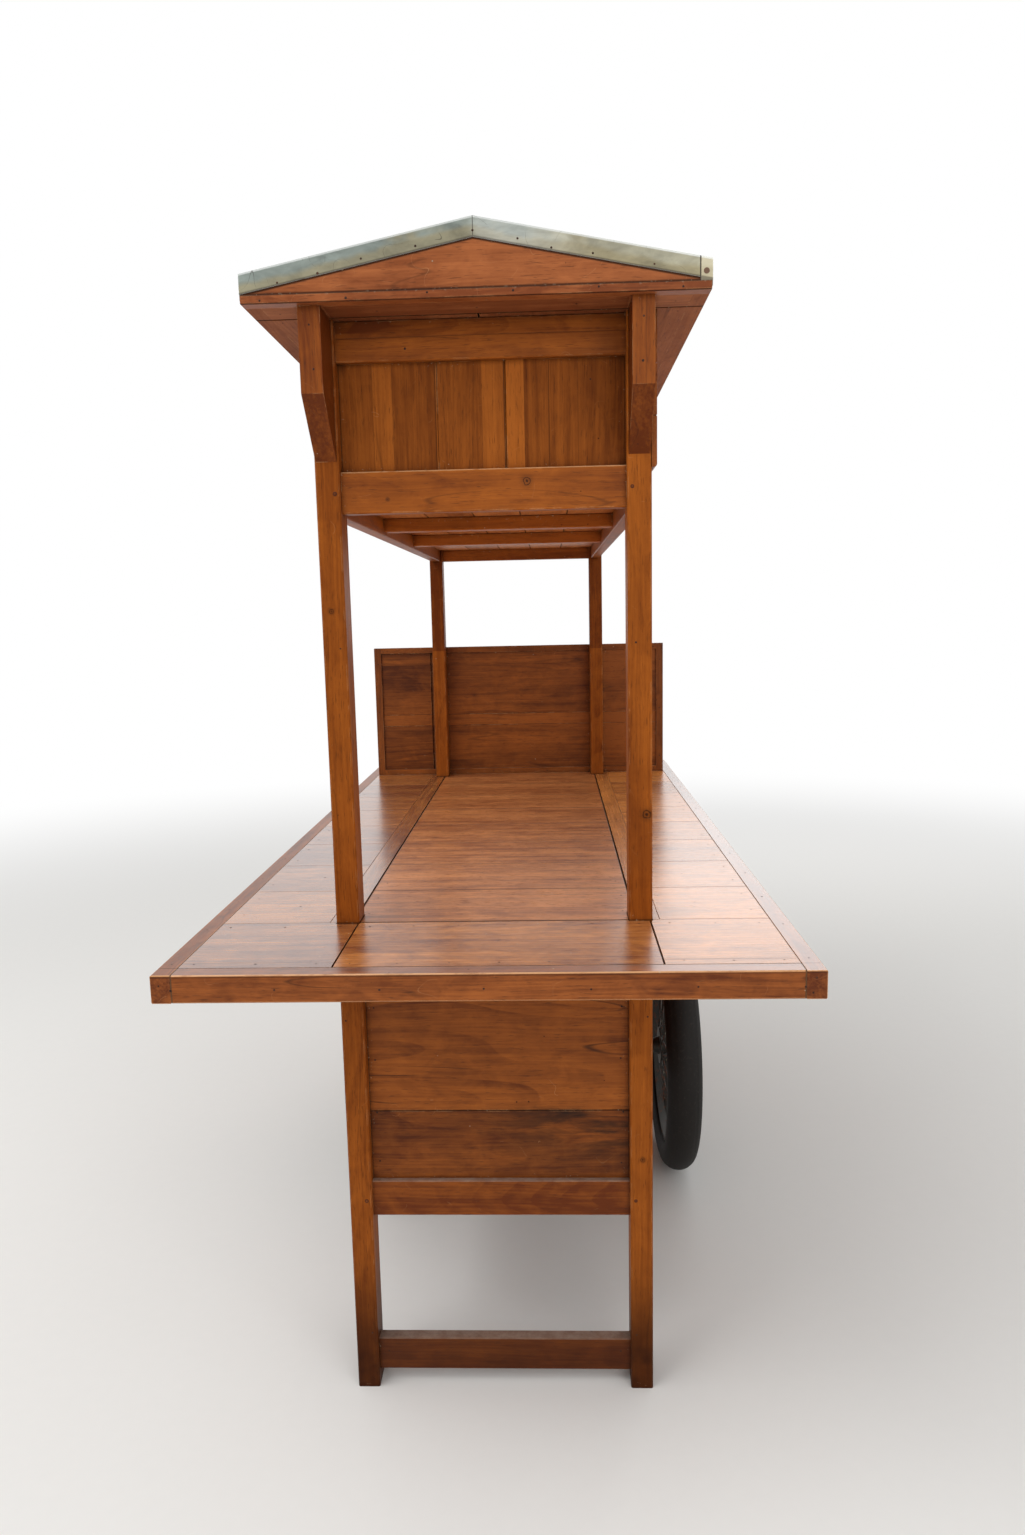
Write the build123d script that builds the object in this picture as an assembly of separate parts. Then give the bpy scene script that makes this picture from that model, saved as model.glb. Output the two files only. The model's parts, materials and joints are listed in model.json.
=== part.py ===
from build123d import *
import math
import os

# Wooden food cart, millimetres. X runs across the cart, Y along it, Z up.
# The origin is on the ground under the middle of the counter. "Front" is the -Y end, "left" is -X.

os.makedirs("parts", exist_ok=True)

# Body of the cart: four corner posts from the ground to the roof
body_width = 520.0
body_length = 1586.0
post_width = 38.0
post_depth = 50.0
post_ease = 2.0

# Rails between the posts, tenoned into them
rail_height = 64.0
rail_thickness = 26.0
end_rail_inset = 12.0
side_rail_inset = 6.0
tenon_length = 12.0
tenon_thickness = 10.0
tenon_shoulder = 12.0
rail_ease = 1.5
base_rail_z = 321.0
shelf_rail_z = 1510.0
upper_rail_height = 60.0
stretcher_z = 26.0
stretcher_height = 60.0
stretcher_thickness = 22.0

# Counter
counter_z = 850.0
counter_overhang_side = 220.0
counter_overhang_end = 242.0
counter_edge_width = 30.0
counter_edge_height = 42.0
counter_board = 22.0
counter_gap = 3.0
post_clearance = 1.0
slab_lap = 10.0
end_piece_left_inset = 38.0
end_piece_right_inset = 5.0
bearer_height = 30.0
bearer_width = 40.0
bearer_inset = 24.0
bearer_count = 4
arm_lap = 12.0
counter_board_count = 8
wing_strip = 37.0
fine_groove = 1.2

# Cupboard under the counter
panel_thickness = 12.0
panel_recess = 10.0
panel_joint_height = 124.0
groove_width = 2.5
stile_width = 40.0
floor_thickness = 12.0

# Doors on the left side
door_width = 368.0
door_gap = 5.0
door_thickness = 20.0
door_frame = 46.0
door_panel_recess = 6.0
knob_radius = 13.0
knob_length = 24.0
knob_head = 14.0
knob_bevel = 4.5
knob_neck_radius = 6.0
knob_inset = 23.0
hinge_pin_radius = 2.0
hinge_clearance = 0.06
hinge_radius = 4.0
hinge_stand_off = 0.5
hinge_leaf = 2.5
hinge_leaf_width = 24.0
hinge_height = 50.0
hinge_end_inset = 50.0

# Board across the rear end of the counter
screen_height = 400.0
screen_clearance = 1.0
screen_thickness = 20.0
screen_stile = 21.0
screen_top_rail = 17.0
screen_panel = 10.0
screen_panel_recess = 6.0
screen_joints = (155.0, 190.0)
screen_slit_x = -271.5
screen_slit_width = 6.0
screen_slit_depth = 5.0

# Overhead shelf box
shelf_joist_width = 40.0
shelf_joist_height = 26.0
shelf_joist_lift = 7.0
shelf_joist_places = (-310.0, 140.0)
shelf_board_thickness = 12.0
shelf_board_count = 5
shelf_board_gap = 2.0
end_board_thickness = 12.0
end_board_recess = 14.0
end_board_seams = ((-69.0, 1.2), (37.0, 2.5))
side_board_thickness = 8.0
side_board_lap = 6.0
side_board_round = 5.0
side_board_joints = (76.0, 152.0)

# Brackets that carry the roof's overhang
bracket_width = 33.0
bracket_inset = 2.0
bracket_reach = 75.0
bracket_nose_drop = 122.0
bracket_foot_drop = 209.0

# Roof
soffit_z = 1797.0
soffit_thickness = 10.0
soffit_gap = 3.0
soffit_end_board = 60.0
roof_overhang_side = 76.0
roof_overhang_end = 87.0
eave_height = 40.5
ridge_rise = 67.0
gable_thickness = 20.0
eave_board = 24.0
trim_height = 12.0
trim_proud = 4.0
trim_ease = 1.0

# Folded metal sheet over the roof
sheet = 1.5
sheet_end_fold = 27.0
sheet_side_fold = 35.0
sheet_corner_tab = 16.0

# Wheels, both on one axle
tyre_width = 78.0
tyre_height = 60.7
tyre_bulge = 37.0
tyre_steps = 6
rim_width = 50.6
rim_flange_radius = 227.0
rim_depth = 27.0
rim_flange_height = 10.0
rim_well_width = 22.0
rim_wall = 3.0
rim_seat_gap = 0.3
hub_length = 90.0
hub_radius = 22.0
hub_flange_radius = 44.0
hub_flange = 4.0
hub_flange_offset = 30.0
spoke_count = 36
spoke_radius = 1.8
spoke_sides = 8
spoke_crosses = 2
spoke_layer = 2.2
spoke_seat_gap = 0.3
wheel_gap_left = 40.0
wheel_gap_right = 86.0
axle_radius = 10.0
axle_running_clearance = 0.05
axle_seat_clearance = 0.1
axle_nut_radius = 17.0
axle_nut_length = 12.0
axle_play = 1.0
axle_block_length = 120.0
axle_block_below = 25.0
axle_block_chamfer = 25.0
spacer_radius = 15.0

# Places worked out from the sizes above
half_width = body_width / 2
half_length = body_length / 2
post_in_x = half_width - post_width
post_in_y = half_length - post_depth
upper_rail_z = soffit_z - upper_rail_height
counter_width = body_width + 2 * counter_overhang_side
counter_length = body_length + 2 * counter_overhang_end
roof_width = body_width + 2 * roof_overhang_side
roof_length = body_length + 2 * roof_overhang_end
eave_z = soffit_z + eave_height
ridge_z = eave_z + ridge_rise
counter_under_z = counter_z - counter_board
counter_rail_z = counter_under_z - bearer_height - rail_height
rim_centre_left = -(half_width + wheel_gap_left + tyre_width / 2)
rim_centre_right = half_width + wheel_gap_right + tyre_width / 2
tyre_radius = rim_flange_radius + rim_seat_gap + tyre_height
rim_inner_radius = rim_flange_radius - rim_depth
axle_z = tyre_radius
ENDS = (("front", -1), ("rear", 1))
SIDES = (("left", -1), ("right", 1))


def block(x, y, z):
    """A box between two corners, each argument being a (low, high) pair in any order."""
    (x0, x1), (y0, y1), (z0, z1) = sorted(x), sorted(y), sorted(z)
    return Pos((x0 + x1) / 2, (y0 + y1) / 2, (z0 + z1) / 2) * Box(x1 - x0, y1 - y0, z1 - z0)


def eased(solid, axis, size):
    """Chamfer the arrises of a board that run along its length."""
    return chamfer(solid.edges().filter_by(axis), size)


def write(name, *solids):
    """One STEP file for one piece, or for like pieces that don't touch."""
    shape = solids[0] if len(solids) == 1 else Compound(children=list(solids))
    export_step(shape, f"parts/{name}.step")


def prism_y(points, y0, y1):
    """A closed outline of (x, z) points, extruded from y0 to y1."""
    face = make_face(Polyline([(x, 0, z) for x, z in points], close=True))
    return Pos(0, min(y0, y1), 0) * extrude(face, amount=abs(y1 - y0), dir=(0, 1, 0))


def prism_x(points, x0, x1):
    """A closed outline of (y, z) points, extruded from x0 to x1."""
    face = make_face(Polyline([(0, y, z) for y, z in points], close=True))
    return Pos(min(x0, x1), 0, 0) * extrude(face, amount=abs(x1 - x0), dir=(1, 0, 0))


def prism_z(points, z0, z1):
    """A closed outline of (x, y) points, extruded from z0 to z1."""
    face = make_face(Polyline([(x, y, 0) for x, y in points], close=True))
    return Pos(0, 0, min(z0, z1)) * extrude(face, amount=abs(z1 - z0), dir=(0, 0, 1))


def groove_z(x, face, inward, z0, z1, width=groove_width):
    """A V groove that runs up a board's end face at x. Inward is 1 or -1 along Y."""
    outline = [(x - width / 2, face), (x + width / 2, face), (x, face + inward * width)]
    return prism_z(outline, z0, z1)


def groove_x(face, inward, z, x0, x1, width=groove_width):
    """A V groove that runs across a board's end face at height z. Inward is 1 or -1 along Y."""
    outline = [(face, z - width / 2), (face, z + width / 2), (face + inward * width, z)]
    return prism_x(outline, x0, x1)


def groove_y(face, inward, z, y0, y1, width=groove_width):
    """A V groove that runs along a board's side face at height z. Inward is 1 or -1 along X."""
    outline = [(face, z - width / 2), (face, z + width / 2), (face + inward * width, z)]
    return prism_y(outline, y0, y1)


def groove_across(y, x0, x1, width=fine_groove):
    """A V groove that runs across the counter's upper face at y."""
    outline = [(y - width / 2, counter_z), (y + width / 2, counter_z), (y, counter_z - width)]
    return prism_x(outline, x0, x1)


def groove_along(x, y0, y1, width=fine_groove):
    """A V groove that runs along the counter's upper face at x."""
    outline = [(x - width / 2, counter_z), (x + width / 2, counter_z), (x, counter_z - width)]
    return prism_y(outline, y0, y1)


# Rails. Each row is: name, height of the lower edge, height of the rail
END_RAILS = (
    ("base_rail", base_rail_z, rail_height),
    ("counter_rail", counter_rail_z, rail_height),
    ("shelf_rail", shelf_rail_z, rail_height),
    ("upper_rail", upper_rail_z, upper_rail_height),
)


def end_rail(end, z, height, thickness=rail_thickness):
    """A rail across one end, between the two posts, and its two tenons."""
    outer = half_length - end_rail_inset
    y = (end * outer, end * (outer - thickness))
    rail = eased(block((-post_in_x, post_in_x), y, (z, z + height)), Axis.X, rail_ease)
    middle = end * (outer - thickness / 2)
    tenon_y = (middle - tenon_thickness / 2, middle + tenon_thickness / 2)
    reach = post_in_x + tenon_length
    tenons = block((-reach, reach), tenon_y, (z + tenon_shoulder, z + height - tenon_shoulder))
    return rail + tenons


def side_rail(side, z, height):
    """A rail along one side, between a front and a rear post, and its two tenons."""
    outer = half_width - side_rail_inset
    x = (side * outer, side * (outer - rail_thickness))
    rail = eased(block(x, (-post_in_y, post_in_y), (z, z + height)), Axis.Y, rail_ease)
    middle = side * (outer - rail_thickness / 2)
    tenon_x = (middle - tenon_thickness / 2, middle + tenon_thickness / 2)
    reach = post_in_y + tenon_length
    tenons = block(tenon_x, (-reach, reach), (z + tenon_shoulder, z + height - tenon_shoulder))
    return rail + tenons


def make_frame():
    """Posts, rails and stretchers."""
    tenoned = []
    for name, z, height in END_RAILS:
        ends = [end_rail(end, z, height) for _, end in ENDS]
        sides = [side_rail(side, z, height) for _, side in SIDES]
        write(name + "s_end", *ends)
        write(name + "s_side", *sides)
        tenoned += ends + sides
    stretchers = [end_rail(end, stretcher_z, stretcher_height, stretcher_thickness) for _, end in ENDS]
    write("stretchers", *stretchers)
    tenoned += stretchers
    for end_name, end in ENDS:
        posts = []
        for _, side in SIDES:
            x = (side * post_in_x, side * half_width)
            y = (end * post_in_y, end * half_length)
            post = eased(block(x, y, (0, soffit_z)), Axis.Z, post_ease)
            for rail in tenoned:
                post -= rail
            posts.append(post)
        write(f"posts_{end_name}", *posts)


def make_cupboard():
    """Boarded ends and right side, floor, and the stiles and middle panel of the left side."""
    z0 = base_rail_z + rail_height
    z1 = counter_rail_z
    joint_z = z0 + panel_joint_height
    rail_face = half_length - end_rail_inset
    boards = []
    for _, end in ENDS:
        face = end * (rail_face - panel_recess)
        back = face - end * panel_thickness
        board = block((-post_in_x, post_in_x), (face, back), (z0, z1))
        board -= groove_x(face, -end, joint_z, -post_in_x, post_in_x)
        boards.append(board)
    write("cupboard_boards_end", *boards)

    side_face = half_width - side_rail_inset - panel_recess / 2
    side_back = side_face - panel_thickness
    right = block((side_back, side_face), (-post_in_y, post_in_y), (z0, z1))
    right -= groove_y(side_face, -1, joint_z, -post_in_y, post_in_y)

    stile_edge = post_in_y - door_gap - door_width - door_gap
    stile_x = (-half_width + side_rail_inset, -half_width + side_rail_inset + rail_thickness)
    stiles = []
    for _, end in ENDS:
        y = (end * (stile_edge - stile_width), end * stile_edge)
        stiles.append(eased(block(stile_x, y, (z0, z1)), Axis.Z, rail_ease))
    write("door_stiles", *stiles)
    reach = stile_edge - stile_width
    left = block((-side_face, -side_back), (-reach, reach), (z0, z1))
    left -= groove_y(-side_face, 1, joint_z, -reach, reach)
    write("cupboard_boards_side", left, right)

    # The floor lies on the base rails and is cut out round the posts and the stiles
    floor_end = rail_face - panel_recess - panel_thickness
    floor_z = (z0, z0 + floor_thickness)
    floor = block((-side_back, side_back), (-floor_end, floor_end), floor_z)
    for _, end in ENDS:
        for _, side in SIDES:
            corner_x = (side * post_in_x, side * half_width)
            floor -= block(corner_x, (end * post_in_y, end * half_length), floor_z)
    for stile in stiles:
        floor -= stile
    write("cupboard_floor", floor)


def hinge_profile(side_of_pin, pin_x, pin_y, leaf_reach):
    """Half a butt hinge seen from above: the leaf and the barrel round the pin."""
    leaf = Rectangle(hinge_leaf, leaf_reach)
    leaf_x = -half_width - hinge_leaf / 2
    barrel = Pos(pin_x, pin_y) * Circle(hinge_radius)
    return barrel + Pos(leaf_x, pin_y + side_of_pin * leaf_reach / 2) * leaf


def make_doors():
    """Two framed doors, hung on butt hinges on the corner posts, each with a turned knob."""
    z0 = base_rail_z + rail_height + door_gap
    z1 = counter_rail_z - door_gap
    outer = -half_width
    inner = outer + door_thickness
    pin_x = outer - hinge_radius - hinge_stand_off
    fixed = []
    for end_name, end in ENDS:
        hinge_edge = end * (post_in_y - door_gap)
        free_edge = hinge_edge - end * door_width
        frame = eased(block((outer, inner), (hinge_edge, free_edge), (z0, z1)), Axis.Z, rail_ease)
        window_y = (hinge_edge - end * door_frame, free_edge + end * door_frame)
        window = block((outer, inner), window_y, (z0 + door_frame, z1 - door_frame))
        panel_x = (outer + door_panel_recess, inner - door_panel_recess)
        panel = block(panel_x, window_y, (z0 + door_frame, z1 - door_frame))
        door = (frame - window) + panel

        pin_y = end * (post_in_y - door_gap / 2)
        leaves = []
        for foot in (z0 + hinge_end_inset, z1 - hinge_end_inset - hinge_height):
            third = hinge_height / 3
            bore = Pos(pin_x, pin_y) * Circle(hinge_pin_radius + hinge_clearance)
            leaf = extrude(hinge_profile(-end, pin_x, pin_y, hinge_leaf_width) - bore, third)
            leaves.append(Pos(0, 0, foot + third) * leaf)
            pin = Pos(pin_x, pin_y, foot) * extrude(Circle(hinge_pin_radius), hinge_height)
            plate = extrude(hinge_profile(end, pin_x, pin_y, hinge_leaf_width), third - hinge_clearance)
            low = Pos(0, 0, foot) * plate
            high = Pos(0, 0, foot + 2 * third + hinge_clearance) * plate
            fixed.append(low + pin + high)
        write(f"door_{end_name}", door)
        write(f"door_{end_name}_leaves", *leaves)

        knob_y = free_edge + end * knob_inset
        knob_z = (z0 + z1) / 2
        head = Pos(0, 0, knob_length - knob_head / 2) * Cylinder(knob_radius, knob_head)
        head = chamfer(head.edges().filter_by(GeomType.CIRCLE), knob_bevel)
        neck = Pos(0, 0, knob_length / 2) * Cylinder(knob_neck_radius, knob_length - knob_head / 2)
        neck = Pos(0, 0, -knob_head / 4) * neck
        knob = Pos(outer, knob_y, knob_z) * Rot(0, -90, 0) * (head + neck)
        write(f"door_{end_name}_knob", knob)
    write("hinge_post_leaves", *fixed)


def counter_outline(x0, x1, y0, y1):
    """One piece of the counter's top as a block of board thickness."""
    return block((x0, x1), (y0, y1), (counter_under_z, counter_z))


def make_counter():
    """Edge boards, the slab between the posts, the two end pieces, the wings and the bearers."""
    edge_x = counter_width / 2
    edge_y = counter_length / 2
    in_x = edge_x - counter_edge_width
    in_y = edge_y - counter_edge_width
    low = counter_z - counter_edge_height
    sides = []
    ends = []
    for _, sign in SIDES:
        x = (sign * in_x, sign * edge_x)
        sides.append(eased(block(x, (-edge_y, edge_y), (low, counter_z)), Axis.Y, rail_ease))
        y = (sign * in_y, sign * edge_y)
        ends.append(eased(block((-in_x, in_x), y, (low, counter_z)), Axis.X, rail_ease))
    write("counter_edges_side", *sides)
    write("counter_edges_end", *ends)

    holes = []
    for _, end in ENDS:
        for _, side in SIDES:
            x = (side * (post_in_x - post_clearance), side * (half_width + post_clearance))
            y = (end * (post_in_y - post_clearance), end * (half_length + post_clearance))
            holes.append(block(x, y, (counter_under_z, counter_z)))

    # The slab ends just behind the outer faces of the end rails, where the end pieces begin
    slab_end = half_length - end_rail_inset / 2
    slab_half_width = post_in_x + slab_lap
    end_left = half_width - end_piece_left_inset
    end_right = half_width - end_piece_right_inset
    slab = counter_outline(-slab_half_width, slab_half_width, -slab_end, slab_end)
    for hole in holes:
        slab -= hole
    board_width = 2 * slab_end / counter_board_count
    joints = [i * board_width - slab_end for i in range(counter_board_count + 1)]
    for joint in joints[1:-1]:
        slab -= groove_across(joint, -slab_half_width, slab_half_width)
    write("counter_slab", slab)

    end_start = slab_end + counter_gap
    pieces = []
    for _, end in ENDS:
        piece = counter_outline(-end_left, end_right, end * end_start, end * in_y)
        for hole in holes:
            piece -= hole
        pieces.append(piece)
    write("counter_ends", *pieces)

    wings = []
    for _, side in SIDES:
        near = slab_half_width + counter_gap
        tip = (end_left if side < 0 else end_right) + counter_gap
        wing = counter_outline(side * near, side * in_x, -in_y, in_y)
        for _, end in ENDS:
            strip = counter_outline(side * min(near, tip), side * max(near, tip), end * slab_end, end * in_y)
            wing = wing - strip if tip > near else wing + strip
        for hole in holes:
            wing -= hole
        # A strip runs along the wing's inner edge, and the cross boards meet it at a joint
        strip_edge = slab_half_width + counter_gap + wing_strip
        wing -= groove_along(side * strip_edge, -slab_end, slab_end)
        for joint in joints[1:-1]:
            wing -= groove_across(joint, side * strip_edge, side * in_x)
        for joint in (joints[0], joints[-1]):
            wing -= groove_across(joint, side * (half_width + post_clearance), side * in_x)
        wings.append(wing)
    write("counter_wings", *wings)

    bearers = []
    last = post_in_y - bearer_inset - bearer_width / 2
    for i in range(bearer_count):
        y = last * (2 * i / (bearer_count - 1) - 1)
        z = (counter_under_z - bearer_height, counter_under_z)
        bearers.append(block((-in_x, in_x), (y - bearer_width / 2, y + bearer_width / 2), z))
    write("counter_bearers", *bearers)

    arms = []
    for _, end in ENDS:
        for _, side in SIDES:
            x = (side * (post_in_x - arm_lap), side * (post_in_x - arm_lap + bearer_width))
            z = (counter_under_z - bearer_height, counter_under_z)
            arms.append(block(x, (end * half_length, end * in_y), z))
    write("counter_arms", *arms)


def make_screen():
    """The framed board that stands across the counter behind the rear posts."""
    y0 = half_length
    y1 = half_length + screen_thickness
    z0 = counter_z
    z1 = counter_z + screen_height
    edge = counter_width / 2 - counter_edge_width - screen_clearance
    inner = edge - screen_stile
    opening_z = (z0 + screen_top_rail, z1 - screen_top_rail)
    frame = block((-edge, edge), (y0, y1), (z0, z1)) - block((-inner, inner), (y0, y1), opening_z)
    write("screen_frame", frame)
    face = y0 + screen_panel_recess
    boards = block((-inner, inner), (face, face + screen_panel), opening_z)
    for joint in screen_joints:
        boards -= groove_x(face, 1, z0 + joint, -inner, inner, fine_groove)
    # One end of the boards stands a little apart, which leaves a narrow slit beside the post
    slit_x = (screen_slit_x - screen_slit_width / 2, screen_slit_x + screen_slit_width / 2)
    boards -= block(slit_x, (face, face + screen_slit_depth), opening_z)
    write("screen_boards", boards)


def make_overhead():
    """Joists, shelf boards, vertical end boards and the closed right side of the overhead box."""
    side_in = half_width - side_rail_inset - rail_thickness
    outer = half_length - end_rail_inset - rail_thickness
    joist_z = (shelf_rail_z + shelf_joist_lift, shelf_rail_z + shelf_joist_lift + shelf_joist_height)
    joists = []
    for y in shelf_joist_places:
        joist_y = (y - shelf_joist_width / 2, y + shelf_joist_width / 2)
        joists.append(eased(block((-side_in, side_in), joist_y, joist_z), Axis.X, rail_ease))
    write("shelf_joists", *joists)

    board_z = (joist_z[1], joist_z[1] + shelf_board_thickness)
    pitch = (2 * side_in + shelf_board_gap) / shelf_board_count
    boards = []
    for i in range(shelf_board_count):
        x0 = i * pitch - side_in
        board = block((x0, x0 + pitch - shelf_board_gap), (-outer, outer), board_z)
        for _, side in SIDES:
            for _, end in ENDS:
                corner_x = (side * (post_in_x - post_clearance), side * half_width)
                corner_y = (end * (post_in_y - post_clearance), end * half_length)
                board -= block(corner_x, corner_y, board_z)
        boards.append(board)
    write("shelf_boards", *boards)

    low = shelf_rail_z + rail_height
    panels = []
    for _, end in ENDS:
        face = end * (half_length - end_rail_inset - end_board_recess)
        back = face - end * end_board_thickness
        panel = block((-post_in_x, post_in_x), (face, back), (low, upper_rail_z))
        for seam, width in end_board_seams:
            panel -= groove_z(-end * seam, face, -end, low, upper_rail_z, width)
        panels.append(panel)
    write("shelf_end_boards", *panels)

    x0 = half_width
    x1 = half_width + side_board_thickness
    side_board_z = low - side_board_lap
    board = block((x0, x1), (-half_length, half_length), (side_board_z, soffit_z))
    lower_edges = board.edges().filter_by(Axis.Y).group_by(Axis.Z)[0]
    board = fillet(lower_edges.sort_by(Axis.X)[-1], side_board_round)
    for joint in side_board_joints:
        board -= groove_y(x1, -1, side_board_z + joint, -half_length, half_length)
    write("shelf_side_board", board)


def make_brackets():
    """Knee brackets on the outer faces of the posts, under the roof's overhang."""
    brackets = []
    for _, end in ENDS:
        for _, side in SIDES:
            back = end * half_length
            nose = end * (half_length + bracket_reach)
            outline = [
                (back, soffit_z - bracket_foot_drop),
                (nose, soffit_z - bracket_nose_drop),
                (nose, soffit_z),
                (back, soffit_z),
            ]
            outer = half_width - bracket_inset
            brackets.append(prism_x(outline, side * (outer - bracket_width), side * outer))
    write("brackets", *brackets)


def roof_outline(grow, floor_z):
    """The roof's cross-section, grown outwards by the given thickness."""
    half = roof_width / 2
    slope = math.atan2(ridge_z - eave_z, half)
    rise = grow / math.cos(slope)
    drop = grow * math.tan(slope)
    return [
        (-half - grow, floor_z),
        (half + grow, floor_z),
        (half + grow, eave_z + rise - drop),
        (0, ridge_z + rise),
        (-half - grow, eave_z + rise - drop),
    ]


def make_roof():
    """Soffit, gables, trims, eave boards and the folded metal sheet."""
    half = roof_width / 2
    end_y = roof_length / 2
    gable_in = end_y - gable_thickness
    eave_in = half - eave_board
    top = soffit_z + soffit_thickness

    soffit = []
    for _, end in ENDS:
        y = (end * (gable_in - soffit_end_board), end * gable_in)
        soffit.append(block((-eave_in, eave_in), y, (soffit_z, top)))
    long_y = gable_in - soffit_end_board - soffit_gap
    for _, side in SIDES:
        x = (side * soffit_gap / 2, side * eave_in)
        soffit.append(block(x, (-long_y, long_y), (soffit_z, top)))
    write("soffit_boards", *soffit)

    gables = []
    trims = []
    for _, end in ENDS:
        gables.append(prism_y(roof_outline(0, soffit_z), end * gable_in, end * end_y))
        y = (end * end_y, end * (end_y + trim_proud))
        trims.append(eased(block((-half, half), y, (soffit_z, soffit_z + trim_height)), Axis.X, trim_ease))
    write("gables", *gables)
    write("gable_trims", *trims)

    slope = (ridge_z - eave_z) / half
    boards = []
    for _, side in SIDES:
        outline = [
            (side * half, soffit_z),
            (side * half, eave_z),
            (side * eave_in, eave_z + slope * eave_board),
            (side * eave_in, soffit_z),
        ]
        boards.append(prism_y(outline, -gable_in, gable_in))
    write("eave_boards", *boards)

    shell = prism_y(roof_outline(sheet, soffit_z), -end_y - sheet, end_y + sheet)
    shell -= prism_y(roof_outline(0, soffit_z), -end_y, end_y)
    fold_z = eave_z - sheet_side_fold
    shell -= block((-half - sheet, half + sheet), (-end_y - sheet, end_y + sheet), (soffit_z, fold_z))
    # The end folds follow the slope, apart from a tab that the side fold wraps round one corner
    cut = [
        (-half - sheet, fold_z),
        (half + sheet, fold_z),
        (half + sheet, eave_z - sheet_end_fold),
        (0, ridge_z - sheet_end_fold),
        (-half - sheet, eave_z - sheet_end_fold),
    ]
    for _, end in ENDS:
        opening = prism_y(cut, end * end_y, end * (end_y + sheet))
        tab_x = (-end * half, -end * (half - sheet_corner_tab))
        tab_z = (soffit_z + trim_height, eave_z)
        tab = block((-end * (half + sheet), tab_x[1]), (end * end_y, end * (end_y + sheet)), tab_z)
        shell -= opening - tab
    write("roof_sheet", shell)


def tyre_solid():
    """The tyre's round section, from one edge of the rim over the crown to the other."""
    seat = rim_flange_radius + rim_seat_gap
    wall_radius = tyre_radius - tyre_bulge
    reach = math.acos((seat - wall_radius) / tyre_bulge)
    section = []
    for i in range(tyre_steps + 1):
        turn = reach * (2 * i / tyre_steps - 1)
        section.append((tyre_width / 2 * math.sin(turn), wall_radius + tyre_bulge * math.cos(turn)))
    return revolve(make_face(Polyline(section, close=True)), Axis.X)


def rim_solid():
    """A drop-centre rim of even wall thickness, with a flange under each edge of the tyre."""
    edge = rim_width / 2
    well = rim_well_width / 2
    root = rim_flange_radius - rim_flange_height
    section = [
        (-edge, rim_flange_radius),
        (-edge + rim_wall, rim_flange_radius),
        (-edge + rim_wall, root + rim_wall / 2),
        (-well + rim_wall / 2, rim_inner_radius + rim_wall),
        (well - rim_wall / 2, rim_inner_radius + rim_wall),
        (edge - rim_wall, root + rim_wall / 2),
        (edge - rim_wall, rim_flange_radius),
        (edge, rim_flange_radius),
        (edge, root),
        (well, rim_inner_radius),
        (-well, rim_inner_radius),
        (-edge, root),
    ]
    return revolve(make_face(Polyline(section, close=True)), Axis.X)


def hub_solid():
    """A hub with two spoke flanges and a bore that runs on the axle."""
    bore = axle_radius + axle_running_clearance
    half = hub_length / 2
    offset = hub_flange_offset
    points = [
        (-half, bore),
        (-half, hub_radius * 0.8),
        (-offset - hub_flange / 2, hub_radius),
        (-offset - hub_flange / 2, hub_flange_radius),
        (-offset + hub_flange / 2, hub_flange_radius),
        (-offset + hub_flange / 2, hub_radius),
        (offset - hub_flange / 2, hub_radius),
        (offset - hub_flange / 2, hub_flange_radius),
        (offset + hub_flange / 2, hub_flange_radius),
        (offset + hub_flange / 2, hub_radius),
        (half, hub_radius * 0.8),
        (half, bore),
    ]
    return revolve(make_face(Polyline(points, close=True)), Axis.X)


def spoke_solids():
    """Crossed wire spokes: half lead and half trail, in two layers on each flange."""
    spokes = []
    per_side = spoke_count // 2
    step = 360 / per_side
    sweep = spoke_crosses * step
    start_r = hub_flange_radius + spoke_radius + spoke_seat_gap
    end_r = rim_inner_radius - spoke_seat_gap - spoke_radius * 0.3
    for sign in (-1, 1):
        for i in range(per_side):
            lead = 1 if i % 2 else -1
            hub_angle = math.radians((i + 0.25 * sign) * step)
            rim_angle = hub_angle + math.radians(lead * sweep)
            layer = sign * (hub_flange_offset - spoke_layer * (1 - lead) / 2)
            a = Vector(layer, start_r * math.cos(hub_angle), start_r * math.sin(hub_angle))
            b = Vector(sign * 3 + layer * 0.1, end_r * math.cos(rim_angle), end_r * math.sin(rim_angle))
            wire = Plane(origin=a, z_dir=b - a) * extrude(RegularPolygon(spoke_radius, spoke_sides), (b - a).length)
            spokes.append(wire)
    return spokes


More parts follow.
